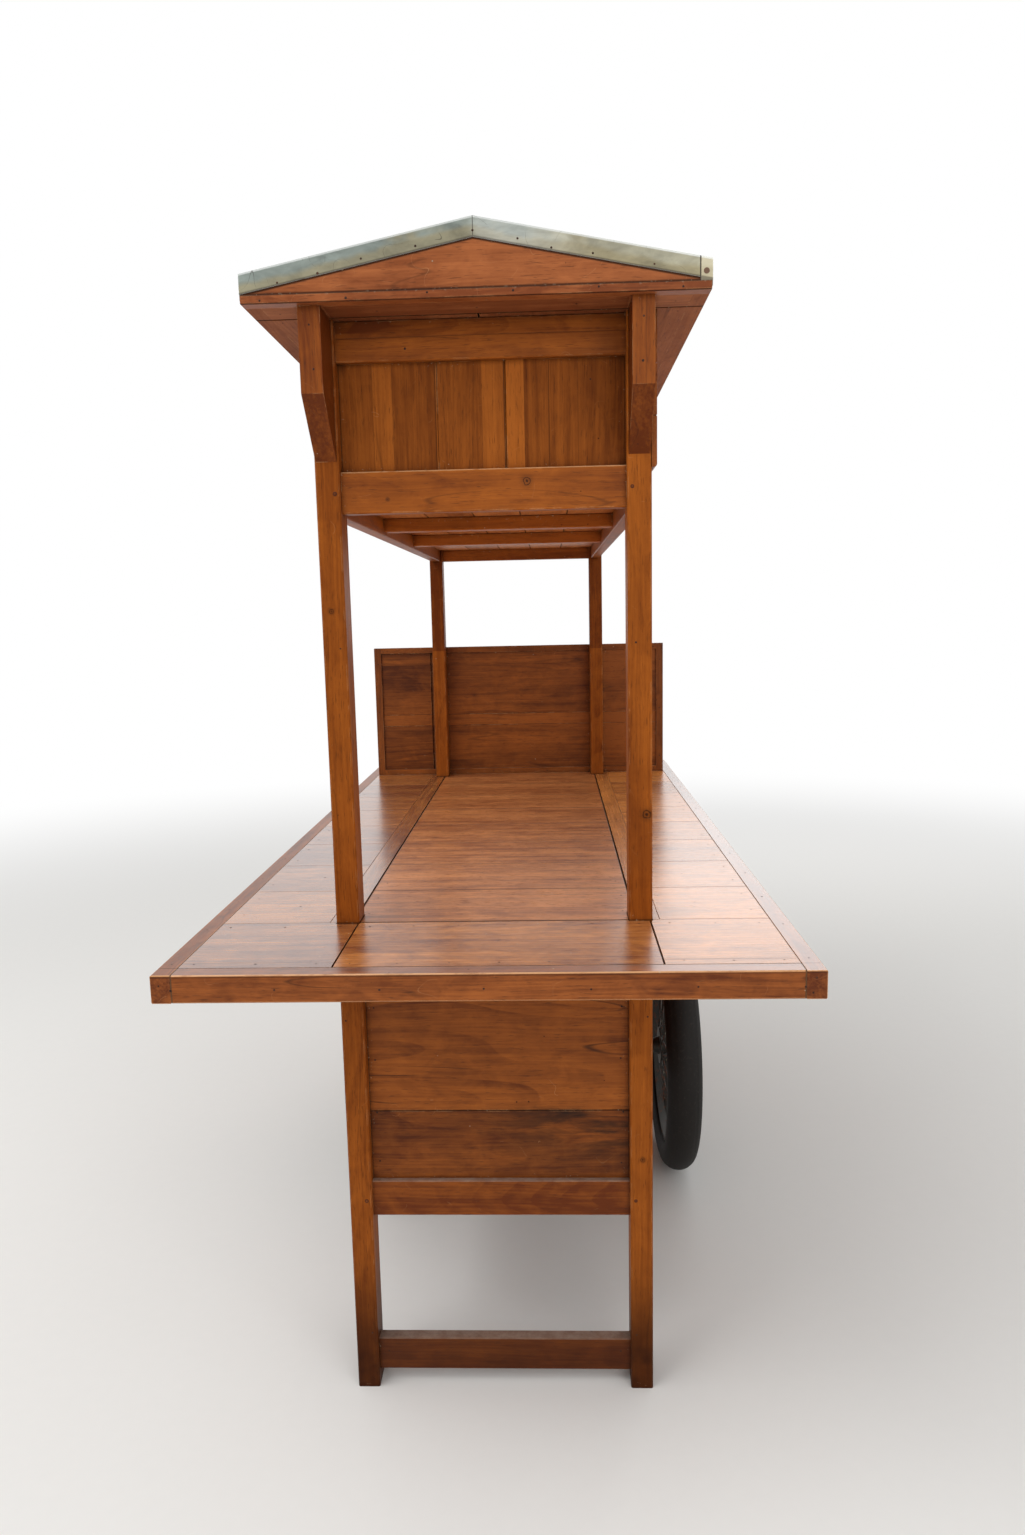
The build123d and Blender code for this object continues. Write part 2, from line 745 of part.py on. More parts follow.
def make_running_gear():
    """One through axle in two blocks under the side rails, with a wire wheel on each end."""
    for side_name, centre in (("left", rim_centre_left), ("right", rim_centre_right)):
        place = Pos(centre, 0, axle_z)
        write(f"tyre_{side_name}", place * tyre_solid())
        write(f"rim_{side_name}", place * rim_solid())
        write(f"hub_{side_name}", place * hub_solid())
        write(f"spokes_{side_name}", *[place * spoke for spoke in spoke_solids()])

    left_tip = rim_centre_left - hub_length / 2 - axle_play - axle_nut_length
    right_tip = rim_centre_right + hub_length / 2 + axle_play + axle_nut_length
    along_x = Rot(0, 90, 0)
    shaft = Pos(left_tip, 0, axle_z) * along_x * extrude(Circle(axle_radius), right_tip - left_tip)
    # Each nut is a hexagon past the hub, and each spacer keeps its hub off the axle block
    nut = extrude(RegularPolygon(axle_nut_radius, 6), axle_nut_length)
    shaft += Pos(left_tip, 0, axle_z) * along_x * nut
    shaft += Pos(right_tip - axle_nut_length, 0, axle_z) * along_x * nut
    spacer = Circle(spacer_radius)
    left_hub = rim_centre_left + hub_length / 2 + axle_play
    shaft += Pos(left_hub, 0, axle_z) * along_x * extrude(spacer, -half_width - left_hub)
    right_hub = rim_centre_right - hub_length / 2 - axle_play
    shaft += Pos(half_width, 0, axle_z) * along_x * extrude(spacer, right_hub - half_width)
    write("axle", shaft)

    blocks = []
    half = axle_block_length / 2
    low = axle_z - axle_block_below
    outline = [
        (-half, base_rail_z),
        (-half, low + axle_block_chamfer),
        (-half + axle_block_chamfer, low),
        (half - axle_block_chamfer, low),
        (half, low + axle_block_chamfer),
        (half, base_rail_z),
    ]
    for _, side in SIDES:
        body = prism_x(outline, side * post_in_x, side * half_width)
        bore = Circle(axle_radius + axle_seat_clearance)
        hole = Pos(side * half_width, 0, axle_z) * along_x * extrude(bore, -side * post_width)
        blocks.append(body - hole)
    write("axle_blocks", *blocks)


make_frame()
make_cupboard()
make_doors()
make_counter()
make_screen()
make_overhead()
make_brackets()
make_roof()
make_running_gear()
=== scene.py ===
"""Finishes, fastenings, tyres and stage for a wooden street-food pushcart, built round its CAD frame.

Lengths are in metres in the frame's own axes: X across the cart, Y along it, Z up.
The front end is at -Y, and the side with the cupboard doors is at -X.
"""

import json
import math

import bmesh
import bpy
from bpy.props import FloatProperty, FloatVectorProperty, IntProperty, PointerProperty
from mathutils import Matrix, Vector

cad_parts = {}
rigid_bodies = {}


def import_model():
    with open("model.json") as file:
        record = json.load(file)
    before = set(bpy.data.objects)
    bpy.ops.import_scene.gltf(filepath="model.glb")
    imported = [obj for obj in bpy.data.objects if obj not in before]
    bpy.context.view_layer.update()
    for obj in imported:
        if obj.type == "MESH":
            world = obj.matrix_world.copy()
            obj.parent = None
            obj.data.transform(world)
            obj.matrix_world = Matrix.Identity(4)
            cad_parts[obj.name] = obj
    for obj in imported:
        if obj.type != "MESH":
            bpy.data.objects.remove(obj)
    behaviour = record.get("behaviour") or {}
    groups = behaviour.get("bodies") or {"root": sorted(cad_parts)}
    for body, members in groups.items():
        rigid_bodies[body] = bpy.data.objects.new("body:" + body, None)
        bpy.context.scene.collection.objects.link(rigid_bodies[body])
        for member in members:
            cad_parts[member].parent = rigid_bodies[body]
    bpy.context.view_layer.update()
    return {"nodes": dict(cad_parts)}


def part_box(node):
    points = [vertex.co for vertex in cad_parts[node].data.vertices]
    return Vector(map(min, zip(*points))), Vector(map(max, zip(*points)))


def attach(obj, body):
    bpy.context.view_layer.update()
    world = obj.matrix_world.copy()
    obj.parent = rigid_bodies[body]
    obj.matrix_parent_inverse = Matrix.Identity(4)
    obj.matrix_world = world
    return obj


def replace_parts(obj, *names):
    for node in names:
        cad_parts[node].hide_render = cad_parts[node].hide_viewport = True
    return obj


bl_info = {
    "name": "Wooden food cart",
    "version": (1, 0, 0),
    "blender": (4, 5, 0),
    "location": "3D View > Sidebar > Food cart",
    "description": "Timber, sheet metal, fastenings and tyres of a wooden street-food pushcart",
    "category": "Object",
}

for leftover in list(bpy.data.objects):
    bpy.data.objects.remove(leftover)

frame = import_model()
cad = frame["nodes"]

IMAGE_HEIGHT = 1535
MM = 0.001
EDGE_BOARD_WIDTH = 30 * MM
POST_WIDTH = 38 * MM
SHEET_SIDE_FOLD = 35 * MM
SHEET_END_FOLD = 27 * MM
HINGE_HEIGHT = 50 * MM
COUNTER_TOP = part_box("counter_slab")[1].z
POST_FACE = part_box("posts_front")[0].y
POST_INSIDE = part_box("posts_front")[1].x - POST_WIDTH

# Timbers. Each row is: key, what it is the grain of, pale colour, deep colour
TIMBERS = (
    ("frame", "posts and rails", (172, 94, 30), (102, 46, 12)),
    ("counter", "counter's boards", (206, 132, 74), (132, 70, 32)),
    ("wing", "counter's wings and end pieces", (224, 144, 70), (112, 58, 30)),
    ("edge", "counter's edge boards", (168, 94, 42), (98, 46, 18)),
    ("board", "cupboard's and the box's boards", (170, 94, 34), (92, 42, 13)),
    ("screen", "rear screen", (150, 82, 32), (78, 36, 13)),
    ("gable", "gables and trims", (178, 104, 58), (122, 62, 30)),
    ("soffit", "soffit boards", (186, 116, 72), (130, 72, 40)),
)
# Other colours. Each row is: key, what it colours, colour
PAINTS = (
    # This colour also paints the shade in corners, creases and along shadow lines
    ("grime", "Dirt in joints and near the ground", (34, 19, 11)),
    ("dust", "Dust that settles on upward faces", (178, 160, 146)),
    # This colour also paints highlights along arrises
    ("wear", "Bare wood along worn arrises", (214, 158, 108)),
    ("stain", "Black water and soot stains", (26, 18, 13)),
    # This colour also paints shade near the ground
    ("damp", "Timber darkened by damp near the ground", (52, 23, 9)),
    ("filler", "Pale filler in old nail holes and dents", (196, 176, 150)),
    ("sheet", "Zinc-coated roof sheet", (142, 151, 144)),
    # Painted sunlight: this colour makes the slope towards +X paler
    ("sheet_cream", "Sheet bleached cream on one slope", (174, 168, 144)),
    ("sheet_patch", "Yellowish patches on the roof sheet", (152, 138, 98)),
    # Painted highlights on the sheet's upper arris and near the ridge
    ("sheet_bright", "Bright arrises of the roof sheet", (220, 223, 220)),
    ("sheet_tab", "Tab of the sheet, lapped round the corner", (206, 196, 168)),
    ("rust", "Rust on nails, screws and steel", (92, 52, 32)),
    ("nail", "Dark nail heads", (46, 30, 22)),
    ("rubber", "Tyre rubber", (30, 27, 25)),
    ("road_dust", "Dust on the tyres", (70, 63, 56)),
    # The rims, spokes and hubs are this dark partly as painted shade inside the wheels
    ("rim", "Dulled plating of the rims and spokes", (52, 49, 44)),
    ("hub", "Hub metal", (62, 59, 54)),
    ("brass", "Spoke nipples", (150, 140, 116)),
    ("steel", "Axle, nuts and hinges", (96, 90, 84)),
    ("floor", "Plain pale floor", (238, 237, 234)),
)
# Sizes of what is made here. Each row is: key, what it is, millimetres
SIZES = (
    ("nail_radius", "Radius of a nail head", 1.9),
    ("nail_height", "How far a nail head stands proud", 0.3),
    ("peg_radius", "Radius of a joint's wooden peg", 3.6),
    ("peg_height", "How far a peg stands proud", 0.5),
    ("board_width", "Width of the counter's boards", 196.75),
    ("strip_edge", "How far from the middle the strips along the wings' inner edges reach", 272.0),
    ("tread_groove", "Depth of the tyre's worn grooves", 1.0),
)


def colour_rows():
    """Each colour's key, what it colours and its display values."""
    for key, use, pale, deep in TIMBERS:
        yield key + "_pale", "Pale grain of the " + use, pale
        yield key + "_deep", "Deep grain of the " + use, deep
    yield from PAINTS


def paint(red, green, blue):
    """A colour given as 0 to 255 display values, as the linear values that Blender works in."""
    shares = [value / 255 for value in (red, green, blue)]
    return tuple(share / 12.92 if share <= 0.04045 else ((share + 0.055) / 1.055) ** 2.4 for share in shares)


def label(key):
    """A key as words."""
    return key.replace("_", " ").capitalize()


class CartColours(bpy.types.PropertyGroup):
    """Colours of the cart's finishes."""

    __annotations__ = {
        key: FloatVectorProperty(
            name=label(key), description=use, subtype="COLOR", size=3, min=0.0, max=1.0, default=paint(*rgb)
        )
        for key, use, rgb in colour_rows()
    }


class CartSizes(bpy.types.PropertyGroup):
    """Sizes of the small pieces that Blender adds."""

    __annotations__ = {
        key: FloatProperty(name=label(key), description=use, default=size * MM, unit="LENGTH")
        for key, use, size in SIZES
    }
    __annotations__["tyre_segments"] = IntProperty(
        name="Tyre segments", description="Number of steps round each tyre", default=128, min=32, max=256
    )


class CartView(bpy.types.PropertyGroup):
    """Where the picture is taken from."""

    place: FloatVectorProperty(
        name="Place",
        description="The camera's place",
        subtype="TRANSLATION",
        default=(0.09896, -2.4278, 1.35198),
    )
    yaw: FloatProperty(name="Yaw", description="Turn about the upright", subtype="ANGLE", default=-0.03818)
    pitch: FloatProperty(name="Pitch", description="Tilt downwards", subtype="ANGLE", default=0.14906)
    roll: FloatProperty(name="Roll", description="Turn about the view", subtype="ANGLE", default=-0.02176)
    focus_pixels: FloatProperty(
        name="Focal length", description="Focal length in pixels of the full picture", default=1030.72
    )


# Node building

def reckoning(operation, swapped=False):
    """A method that gives a Math node's result, with the value's own place last when swapped."""

    def work(self, *others):
        return calc(operation, *((*others, self) if swapped else (self, *others)))

    return work


class Value:
    """A node's result that can be reckoned with like a number. The sign | takes the larger of two."""

    def __init__(self, socket):
        self.socket = socket
        self.tree = socket.id_data

    __add__ = __radd__ = reckoning("ADD")
    __sub__ = reckoning("SUBTRACT")
    __rsub__ = reckoning("SUBTRACT", swapped=True)
    __mul__ = __rmul__ = reckoning("MULTIPLY")
    __truediv__ = reckoning("DIVIDE")
    __or__ = __ror__ = reckoning("MAXIMUM")
    __lt__ = reckoning("LESS_THAN")
    __gt__ = reckoning("GREATER_THAN")
    __abs__ = reckoning("ABSOLUTE")


def feed(sockets, values):
    """Set each named socket's value, or link it to another node's result."""
    for key, value in values.items():
        if isinstance(value, Value):
            value.tree.links.new(value.socket, sockets[key])
        else:
            sockets[key].default_value = value


def put(tree, kind, inputs=None, **settings):
    """Add a node with its settings, and feed its inputs."""
    own_prefix = kind.startswith(("Geometry", "Function", "NodeGroup"))
    node = tree.nodes.new(kind if own_prefix else "ShaderNode" + kind)
    for key, value in settings.items():
        setattr(node, key, value)
    feed(node.inputs, inputs or {})
    return node


def get(tree, kind, inputs=None, pick=0, **settings):
    """One result of a new node."""
    return Value(put(tree, kind, inputs, **settings).outputs[pick])


def tree_of(*values):
    """The tree that the values belong to."""
    return next(value.tree for value in values if isinstance(value, Value))


def calc(operation, *values, clamp=False):
    """A Math node's result."""
    return get(tree_of(*values), "Math", dict(enumerate(values)), operation=operation, use_clamp=clamp)


def clamped(value):
    """A value kept between 0 and 1."""
    return calc("ADD", value, 0.0, clamp=True)


def vector_calc(operation, first, second=None):
    """A VectorMath node's result, which is a number for lengths and products."""
    inputs = {0: first}
    if second is not None:
        inputs["Scale" if operation == "SCALE" else 1] = second
    pick = "Value" if operation in ("LENGTH", "DISTANCE", "DOT_PRODUCT") else 0
    return get(tree_of(first, second), "VectorMath", inputs, pick, operation=operation)


def joined(x, y, z):
    """A vector from three values."""
    return get(tree_of(x, y, z), "CombineXYZ", {0: x, 1: y, 2: z})


def split(vector, kind="SeparateXYZ"):
    """A vector's or a colour's three values."""
    return [Value(socket) for socket in put(vector.tree, kind, {0: vector}).outputs]


def apart(aside, above):
    """The distance over two offsets at right angles."""
    return vector_calc("LENGTH", joined(aside, above, 0.0))


def ease(value, low, high, start=0.0, end=1.0):
    """A value eased from start to end while it goes from low to high."""
    inputs = {"Value": value, "From Min": low, "From Max": high, "To Min": start, "To Max": end}
    return get(value.tree, "MapRange", inputs, interpolation_type="SMOOTHSTEP")


def blend(share, first, second, way="MIX"):
    """Two colours mixed by a share. A plain colour has three parts."""
    first, second = (value if isinstance(value, Value) else (*value, 1.0) for value in (first, second))
    tree = tree_of(share, first, second)
    return get(tree, "Mix", {0: share, 6: first, 7: second}, 2, data_type="RGBA", blend_type=way)


def lay(colour, *layers):
    """A colour with other ones laid over it in turn. Each layer is: mask, colour."""
    for mask, over in layers:
        colour = blend(mask, colour, over)
    return colour


def shaded(colour, shade):
    """A colour multiplied by a value."""
    return blend(1.0, colour, joined(shade, shade, shade), way="MULTIPLY")


def choose(mask, first, second):
    """The second vector where the mask is set, and the first elsewhere."""
    return get(mask.tree, "Mix", {0: mask, 4: first, 5: second}, 1, data_type="VECTOR")


def noise(vector, stretch, detail=2.0, roughness=0.5, distortion=0.0):
    """Noise in cycles per metre, which may differ along the three axes."""
    stretch = stretch if isinstance(stretch, tuple) else (stretch,) * 3
    inputs = {"Vector": vector_calc("MULTIPLY", vector, stretch), "Scale": 1.0}
    inputs.update({"Detail": detail, "Roughness": roughness, "Distortion": distortion})
    return get(vector.tree, "TexNoise", inputs)


def bump(height, strength, distance):
    """A face's direction, tilted by a height."""
    inputs = {"Strength": strength, "Distance": distance, "Height": height}
    return get(height.tree, "Bump", inputs)


def upward(tree):
    """How far a face looks up."""
    return split(get(tree, "NewGeometry", pick="Normal"))[2]


def place(tree):
    """Object coordinates, their three parts, and how far X and Y are from the middle."""
    vector = get(tree, "TexCoord", pick="Object")
    parts = dict(zip("XYZ", split(vector)))
    parts["|X|"] = abs(parts["X"])
    parts["|Y|"] = abs(parts["Y"])
    return vector, parts


def open_group(name, kind, inputs):
    """A new node group and the values given to it. Each input has its default, or its kind in its place."""
    tree = bpy.data.node_groups.new(name, kind)
    for key, default in inputs.items():
        plain = not isinstance(default, str)
        kind = type(default).__name__.capitalize() if plain else default
        socket = tree.interface.new_socket(name=key, in_out="INPUT", socket_type="NodeSocket" + kind)
        if plain:
            socket.default_value = default
    given = put(tree, "NodeGroupInput").outputs
    return tree, [Value(given[key]) for key in inputs]


def close_group(tree, kind, results):
    """Give a node group its results."""
    for key in results:
        tree.interface.new_socket(name=key, in_out="OUTPUT", socket_type="NodeSocket" + kind)
    feed(put(tree, "NodeGroupOutput").inputs, results)


def use_group(name, **inputs):
    """A shared group's results, worked out from the given values."""
    node = tree_of(*inputs.values()).nodes.new("ShaderNodeGroup")
    node.node_tree = bpy.data.node_groups[name]
    feed(node.inputs, {key.capitalize(): value for key, value in inputs.items()})
    return {socket.name: Value(socket) for socket in node.outputs}


# Shared shader groups

def timber_grain(vector, board, figure, mottling, patching, streaking):
    """Timber seen from any side, with its fibres along the vector's X."""
    shift = board * 17.3
    moved = vector_calc("ADD", vector, joined(shift, shift, shift))
    sway = (noise(moved, (2.2, 7.0, 7.0)) - 0.5) * 0.025
    swayed = vector_calc("ADD", moved, joined(0.0, sway, sway))
    # Wide soft patches, mottling, bands and fine streaks along the fibres
    patches = noise(swayed, (2.0, 10.0, 10.0), distortion=0.3)
    mottle = noise(swayed, (19.0, 30.0, 30.0), detail=3.0, roughness=0.6, distortion=0.8)
    bands = noise(swayed, (1.3, 55.0, 55.0), detail=3.0, roughness=0.6)
    streaks = noise(swayed, (6.0, 260.0, 260.0), detail=3.0, roughness=0.6)
    # Growth rings: each starts sharp and fades, and they come and go along the board
    flow = calc("FRACT", noise(swayed, (0.8, 6.5, 6.5), detail=1.0, roughness=0.3) * 26.0)
    coming = ease(noise(swayed, (3.0, 9.0, 9.0)), 0.40, 0.62)
    rings = ease(flow, 0.35, 0.93) * ease(flow, 1.0, 0.95) * coming * figure
    tone = (patches - 0.5) * patching * 1.7 + 0.54
    tone += (mottle - 0.5) * mottling * 1.6
    tone += (bands + streaks - 1.0) * streaking * 0.8
    # Dark veins wander along the fibres and break off
    course = calc("FRACT", noise(swayed, (1.0, 13.0, 13.0), roughness=0.45) * 5.0)
    unbroken = ease(noise(swayed, (4.0, 26.0, 26.0)), 0.46, 0.62)
    veins = ease(abs(course - 0.5), 0.035, 0.0) * unbroken
    # Open pores show as short dark strokes, in some places more than in others
    low = 0.70 - patches * 0.12
    pores = ease(noise(swayed, (48.0, 760.0, 760.0), detail=1.0), low, low + 0.07)
    relief = streaks * 0.6 - pores * 0.7
    return {"Tone": clamped(tone - rings * 0.5), "Veins": veins, "Pores": pores, "Relief": relief}


def board_joints(along, width, start, line, seed):
    """Evenly wide boards along one coordinate: a random number for each, and the line between two."""
    offset = along - start
    number = calc("MULTIPLY_ADD", seed, 31.0, calc("FLOOR", offset / width))
    board = get(along.tree, "TexWhiteNoise", {"W": number}, "Value", noise_dimensions="1D")
    distance = calc("PINGPONG", offset, width * 0.5)
    joint = ease(distance, line * 0.4, line, 1.0, 0.0) | ease(distance, 0.0, line * 5.0, 0.4, 0.0)
    return {"Board": board, "Joint": joint}


def old_marks(vector, amount, radius):
    """Old marks: small dark holes, pale dents and filler, and hair-thin scratches."""
    cells_per_metre = 40.0
    cells = put(vector.tree, "TexVoronoi", {"Vector": vector, "Scale": cells_per_metre}).outputs
    chance, _, size = split(Value(cells["Color"]), "SeparateColor")
    spot = Value(cells["Distance"]) < radius * cells_per_metre * (size * 0.7 + 0.4)
    thin = ease(abs(noise(vector, 16.0, detail=1.0) - 0.47), 0.0016, 0.0005)
    start = 0.66 - amount * 0.14
    return {
        "Holes": spot * (chance < amount * 0.6),
        "Filler": spot * (chance > 1.0 - amount * 0.35),
        "Scratches": thin * ease(noise(vector, 33.0), start, start + 0.05),
    }


def worn_arrises(vector, radius, spread):
    """A mask that is broken along the arrises, where varnish wears through; it also places painted
    highlights.
    """
    rounded = get(vector.tree, "Bevel", {"Radius": radius}, samples=4)
    facing = vector_calc("DOT_PRODUCT", rounded, get(vector.tree, "NewGeometry", pick="Normal"))
    patches = noise(vector, 28.0, detail=3.0, roughness=0.65)
    low = 0.62 - spread * 0.3
    return {"Mask": ease(facing, 0.995, 0.90) * ease(patches, low, low + 0.12)}


def grime(vector, reach, ground):
    """Dirt and painted shade in joints and corners with pale specks in it, dirt and painted shade near the
    ground, and dust lying on top.
    """
    closed = get(vector.tree, "AmbientOcclusion", {"Distance": reach}, "AO", samples=6)
    patches = noise(vector, 14.0, detail=3.0, roughness=0.6)
    top = ease(upward(vector.tree), 0.5, 0.9)
    # Darkened where ambient occlusion is low: painted shade in corners, together with dirt
    corners = clamped(ease(closed, 0.72, 0.30) * (patches * 0.9 + 0.35))
    crumbs = noise(vector, 210.0, roughness=0.6)
    # Darker near the ground: damp and painted shade
    near = ease(split(vector)[2] + (patches - 0.5) * 0.12, ground, 0.04)
    specks = noise(vector, 60.0, detail=3.0, roughness=0.7)
    return {
        "Corner dirt and shade": corners * (1.0 - top * 0.6),
        "Specks": ease(crumbs, 0.66, 0.72) * ease(closed, 0.85, 0.6),
        "Splash": near * ease(patches, 0.25, 0.65, 0.75, 1.0),
        "Dust": top * ease(specks, 0.25, 0.75, 0.55, 1.0),
    }


def rust_spots(vector, scale, amount):
    """Rust that blooms in spots on bare or plated steel."""
    spots = noise(vector_calc("SCALE", vector, scale), 1.0, detail=5.0, roughness=0.7)
    low = 0.72 - amount * 0.4
    mask = ease(spots, low, low + 0.14)
    return {"Mask": mask, "Relief": mask * spots}


GRAIN_LOOKS = {"Figure": 0.5, "Mottle": 0.5, "Patches": 0.8, "Streaks": 1.0}
# Each row is: name, how its results are worked out, inputs
SHADER_GROUPS = (
    ("Timber grain", timber_grain, {"Vector": "Vector", "Board": 0.0, **GRAIN_LOOKS}),
    ("Board joints", board_joints, {"Along": 0.0, "Width": 0.2, "Start": 0.0, "Line": 0.0006, "Seed": 0.0}),
    ("Old marks", old_marks, {"Vector": "Vector", "Amount": 0.5, "Radius": 0.0014}),
    ("Arris wear and highlight", worn_arrises, {"Vector": "Vector", "Radius": 0.002, "Spread": 0.5}),
    ("Grime", grime, {"Vector": "Vector", "Reach": 0.02, "Ground": 0.3}),
    ("Rust spots", rust_spots, {"Vector": "Vector", "Scale": 60.0, "Amount": 0.5}),
)


def make_shader_groups():
    """All the shared shader groups, made once."""
    for name, work, inputs in SHADER_GROUPS:
        if name not in bpy.data.node_groups:
            tree, given = open_group(name, "ShaderNodeTree", inputs)
            close_group(tree, "Float", work(*given))


def start_material(name):
    """An empty node material with its output and a Principled shader."""
    material = bpy.data.materials.new(name)
    material.use_nodes = True
    tree = material.node_tree
    tree.nodes.clear()
    shader = put(tree, "BsdfPrincipled")
    put(tree, "OutputMaterial", {0: Value(shader.outputs[0])})
    return material, tree, shader


def new_object(name, data):
    """An object at the origin, linked to the scene."""
    thing = bpy.data.objects.new(name, data)
    bpy.context.scene.collection.objects.link(thing)
    return thing


def dress(node, material):
    """Give a CAD node its finish."""
    slots = cad[node].data.materials
    slots.clear()
    slots.append(material)


# Timber

TURNS = {"X": "XYZ", "Y": "YXZ", "Z": "ZXY"}


def along_grain(parts, grain):
    """The coordinates turned so that their X runs along the fibres."""
    return joined(*[parts[axis] for axis in TURNS[grain]])


def seam_values(along, seams):
    """Boards between uneven seams: each board's own tone, its number, and a mask of the seams' lines.

    Each seam is: place, tone of the board after it, strength of its line. The first row's place isn't used.
    """
    number, tone, line = 0.0, seams[0][1], 0.0
    for seam, later, strength in seams[1:]:
        past = along > seam
        number += past
        tone = past * (later - tone) + tone
        line |= ease(abs(along - seam), 0.3 * MM, 1.1 * MM, strength, 0.0)
    return tone, number * 0.37, line


def knot_mask(vector, knots):
    """A mask of round knots with a dark heart and a dark rim. Each knot is: place, radius."""
    mask = 0.0
    wobble = noise(vector, 150.0, detail=1.0) - 0.5
    for spot, radius in knots:
        away = wobble * (radius * 0.8) + vector_calc("DISTANCE", vector, spot)
        mask |= ease(away, radius * 0.55, radius * 0.25)
        mask |= ease(abs(away - radius), radius * 0.32, 0.0)
        mask |= ease(away, radius * 2.6, radius * 0.9, 0.0, 0.35)
    return mask


def line_mask(parts, lines):
    """A mask of lines. Each line is: axis, place, half its width, strength."""
    mask = 0.0
    for axis, spot, half, strength in lines:
        mask |= ease(abs(parts[axis] - spot), half * 0.4, half, strength, 0.0)
    return mask


def band_tone(parts, bands):
    """How much lighter or darker the timber is within bands. Each band is: axis, its two ends, tone."""
    tone = 0.0
    for axis, start, end, change in bands:
        tone += (parts[axis] > start) * (parts[axis] < end) * change
    return tone


def rubbed_mask(vector, parts, arrises):
    """A mask of painted highlights along arrises, bright almost all along. Each is: axis and place, second
    axis and place.
    """
    mask = 0.0
    radius = 2.2 * MM
    for first, here, second, there in arrises:
        away = apart(parts[first] - here, parts[second] - there)
        mask |= ease(away, radius * 0.4, radius, 1.0, 0.0)
    broken = noise(vector, 30.0, detail=3.0, roughness=0.6)
    return mask * ease(broken, 0.35, 0.5, 0.35, 1.0)


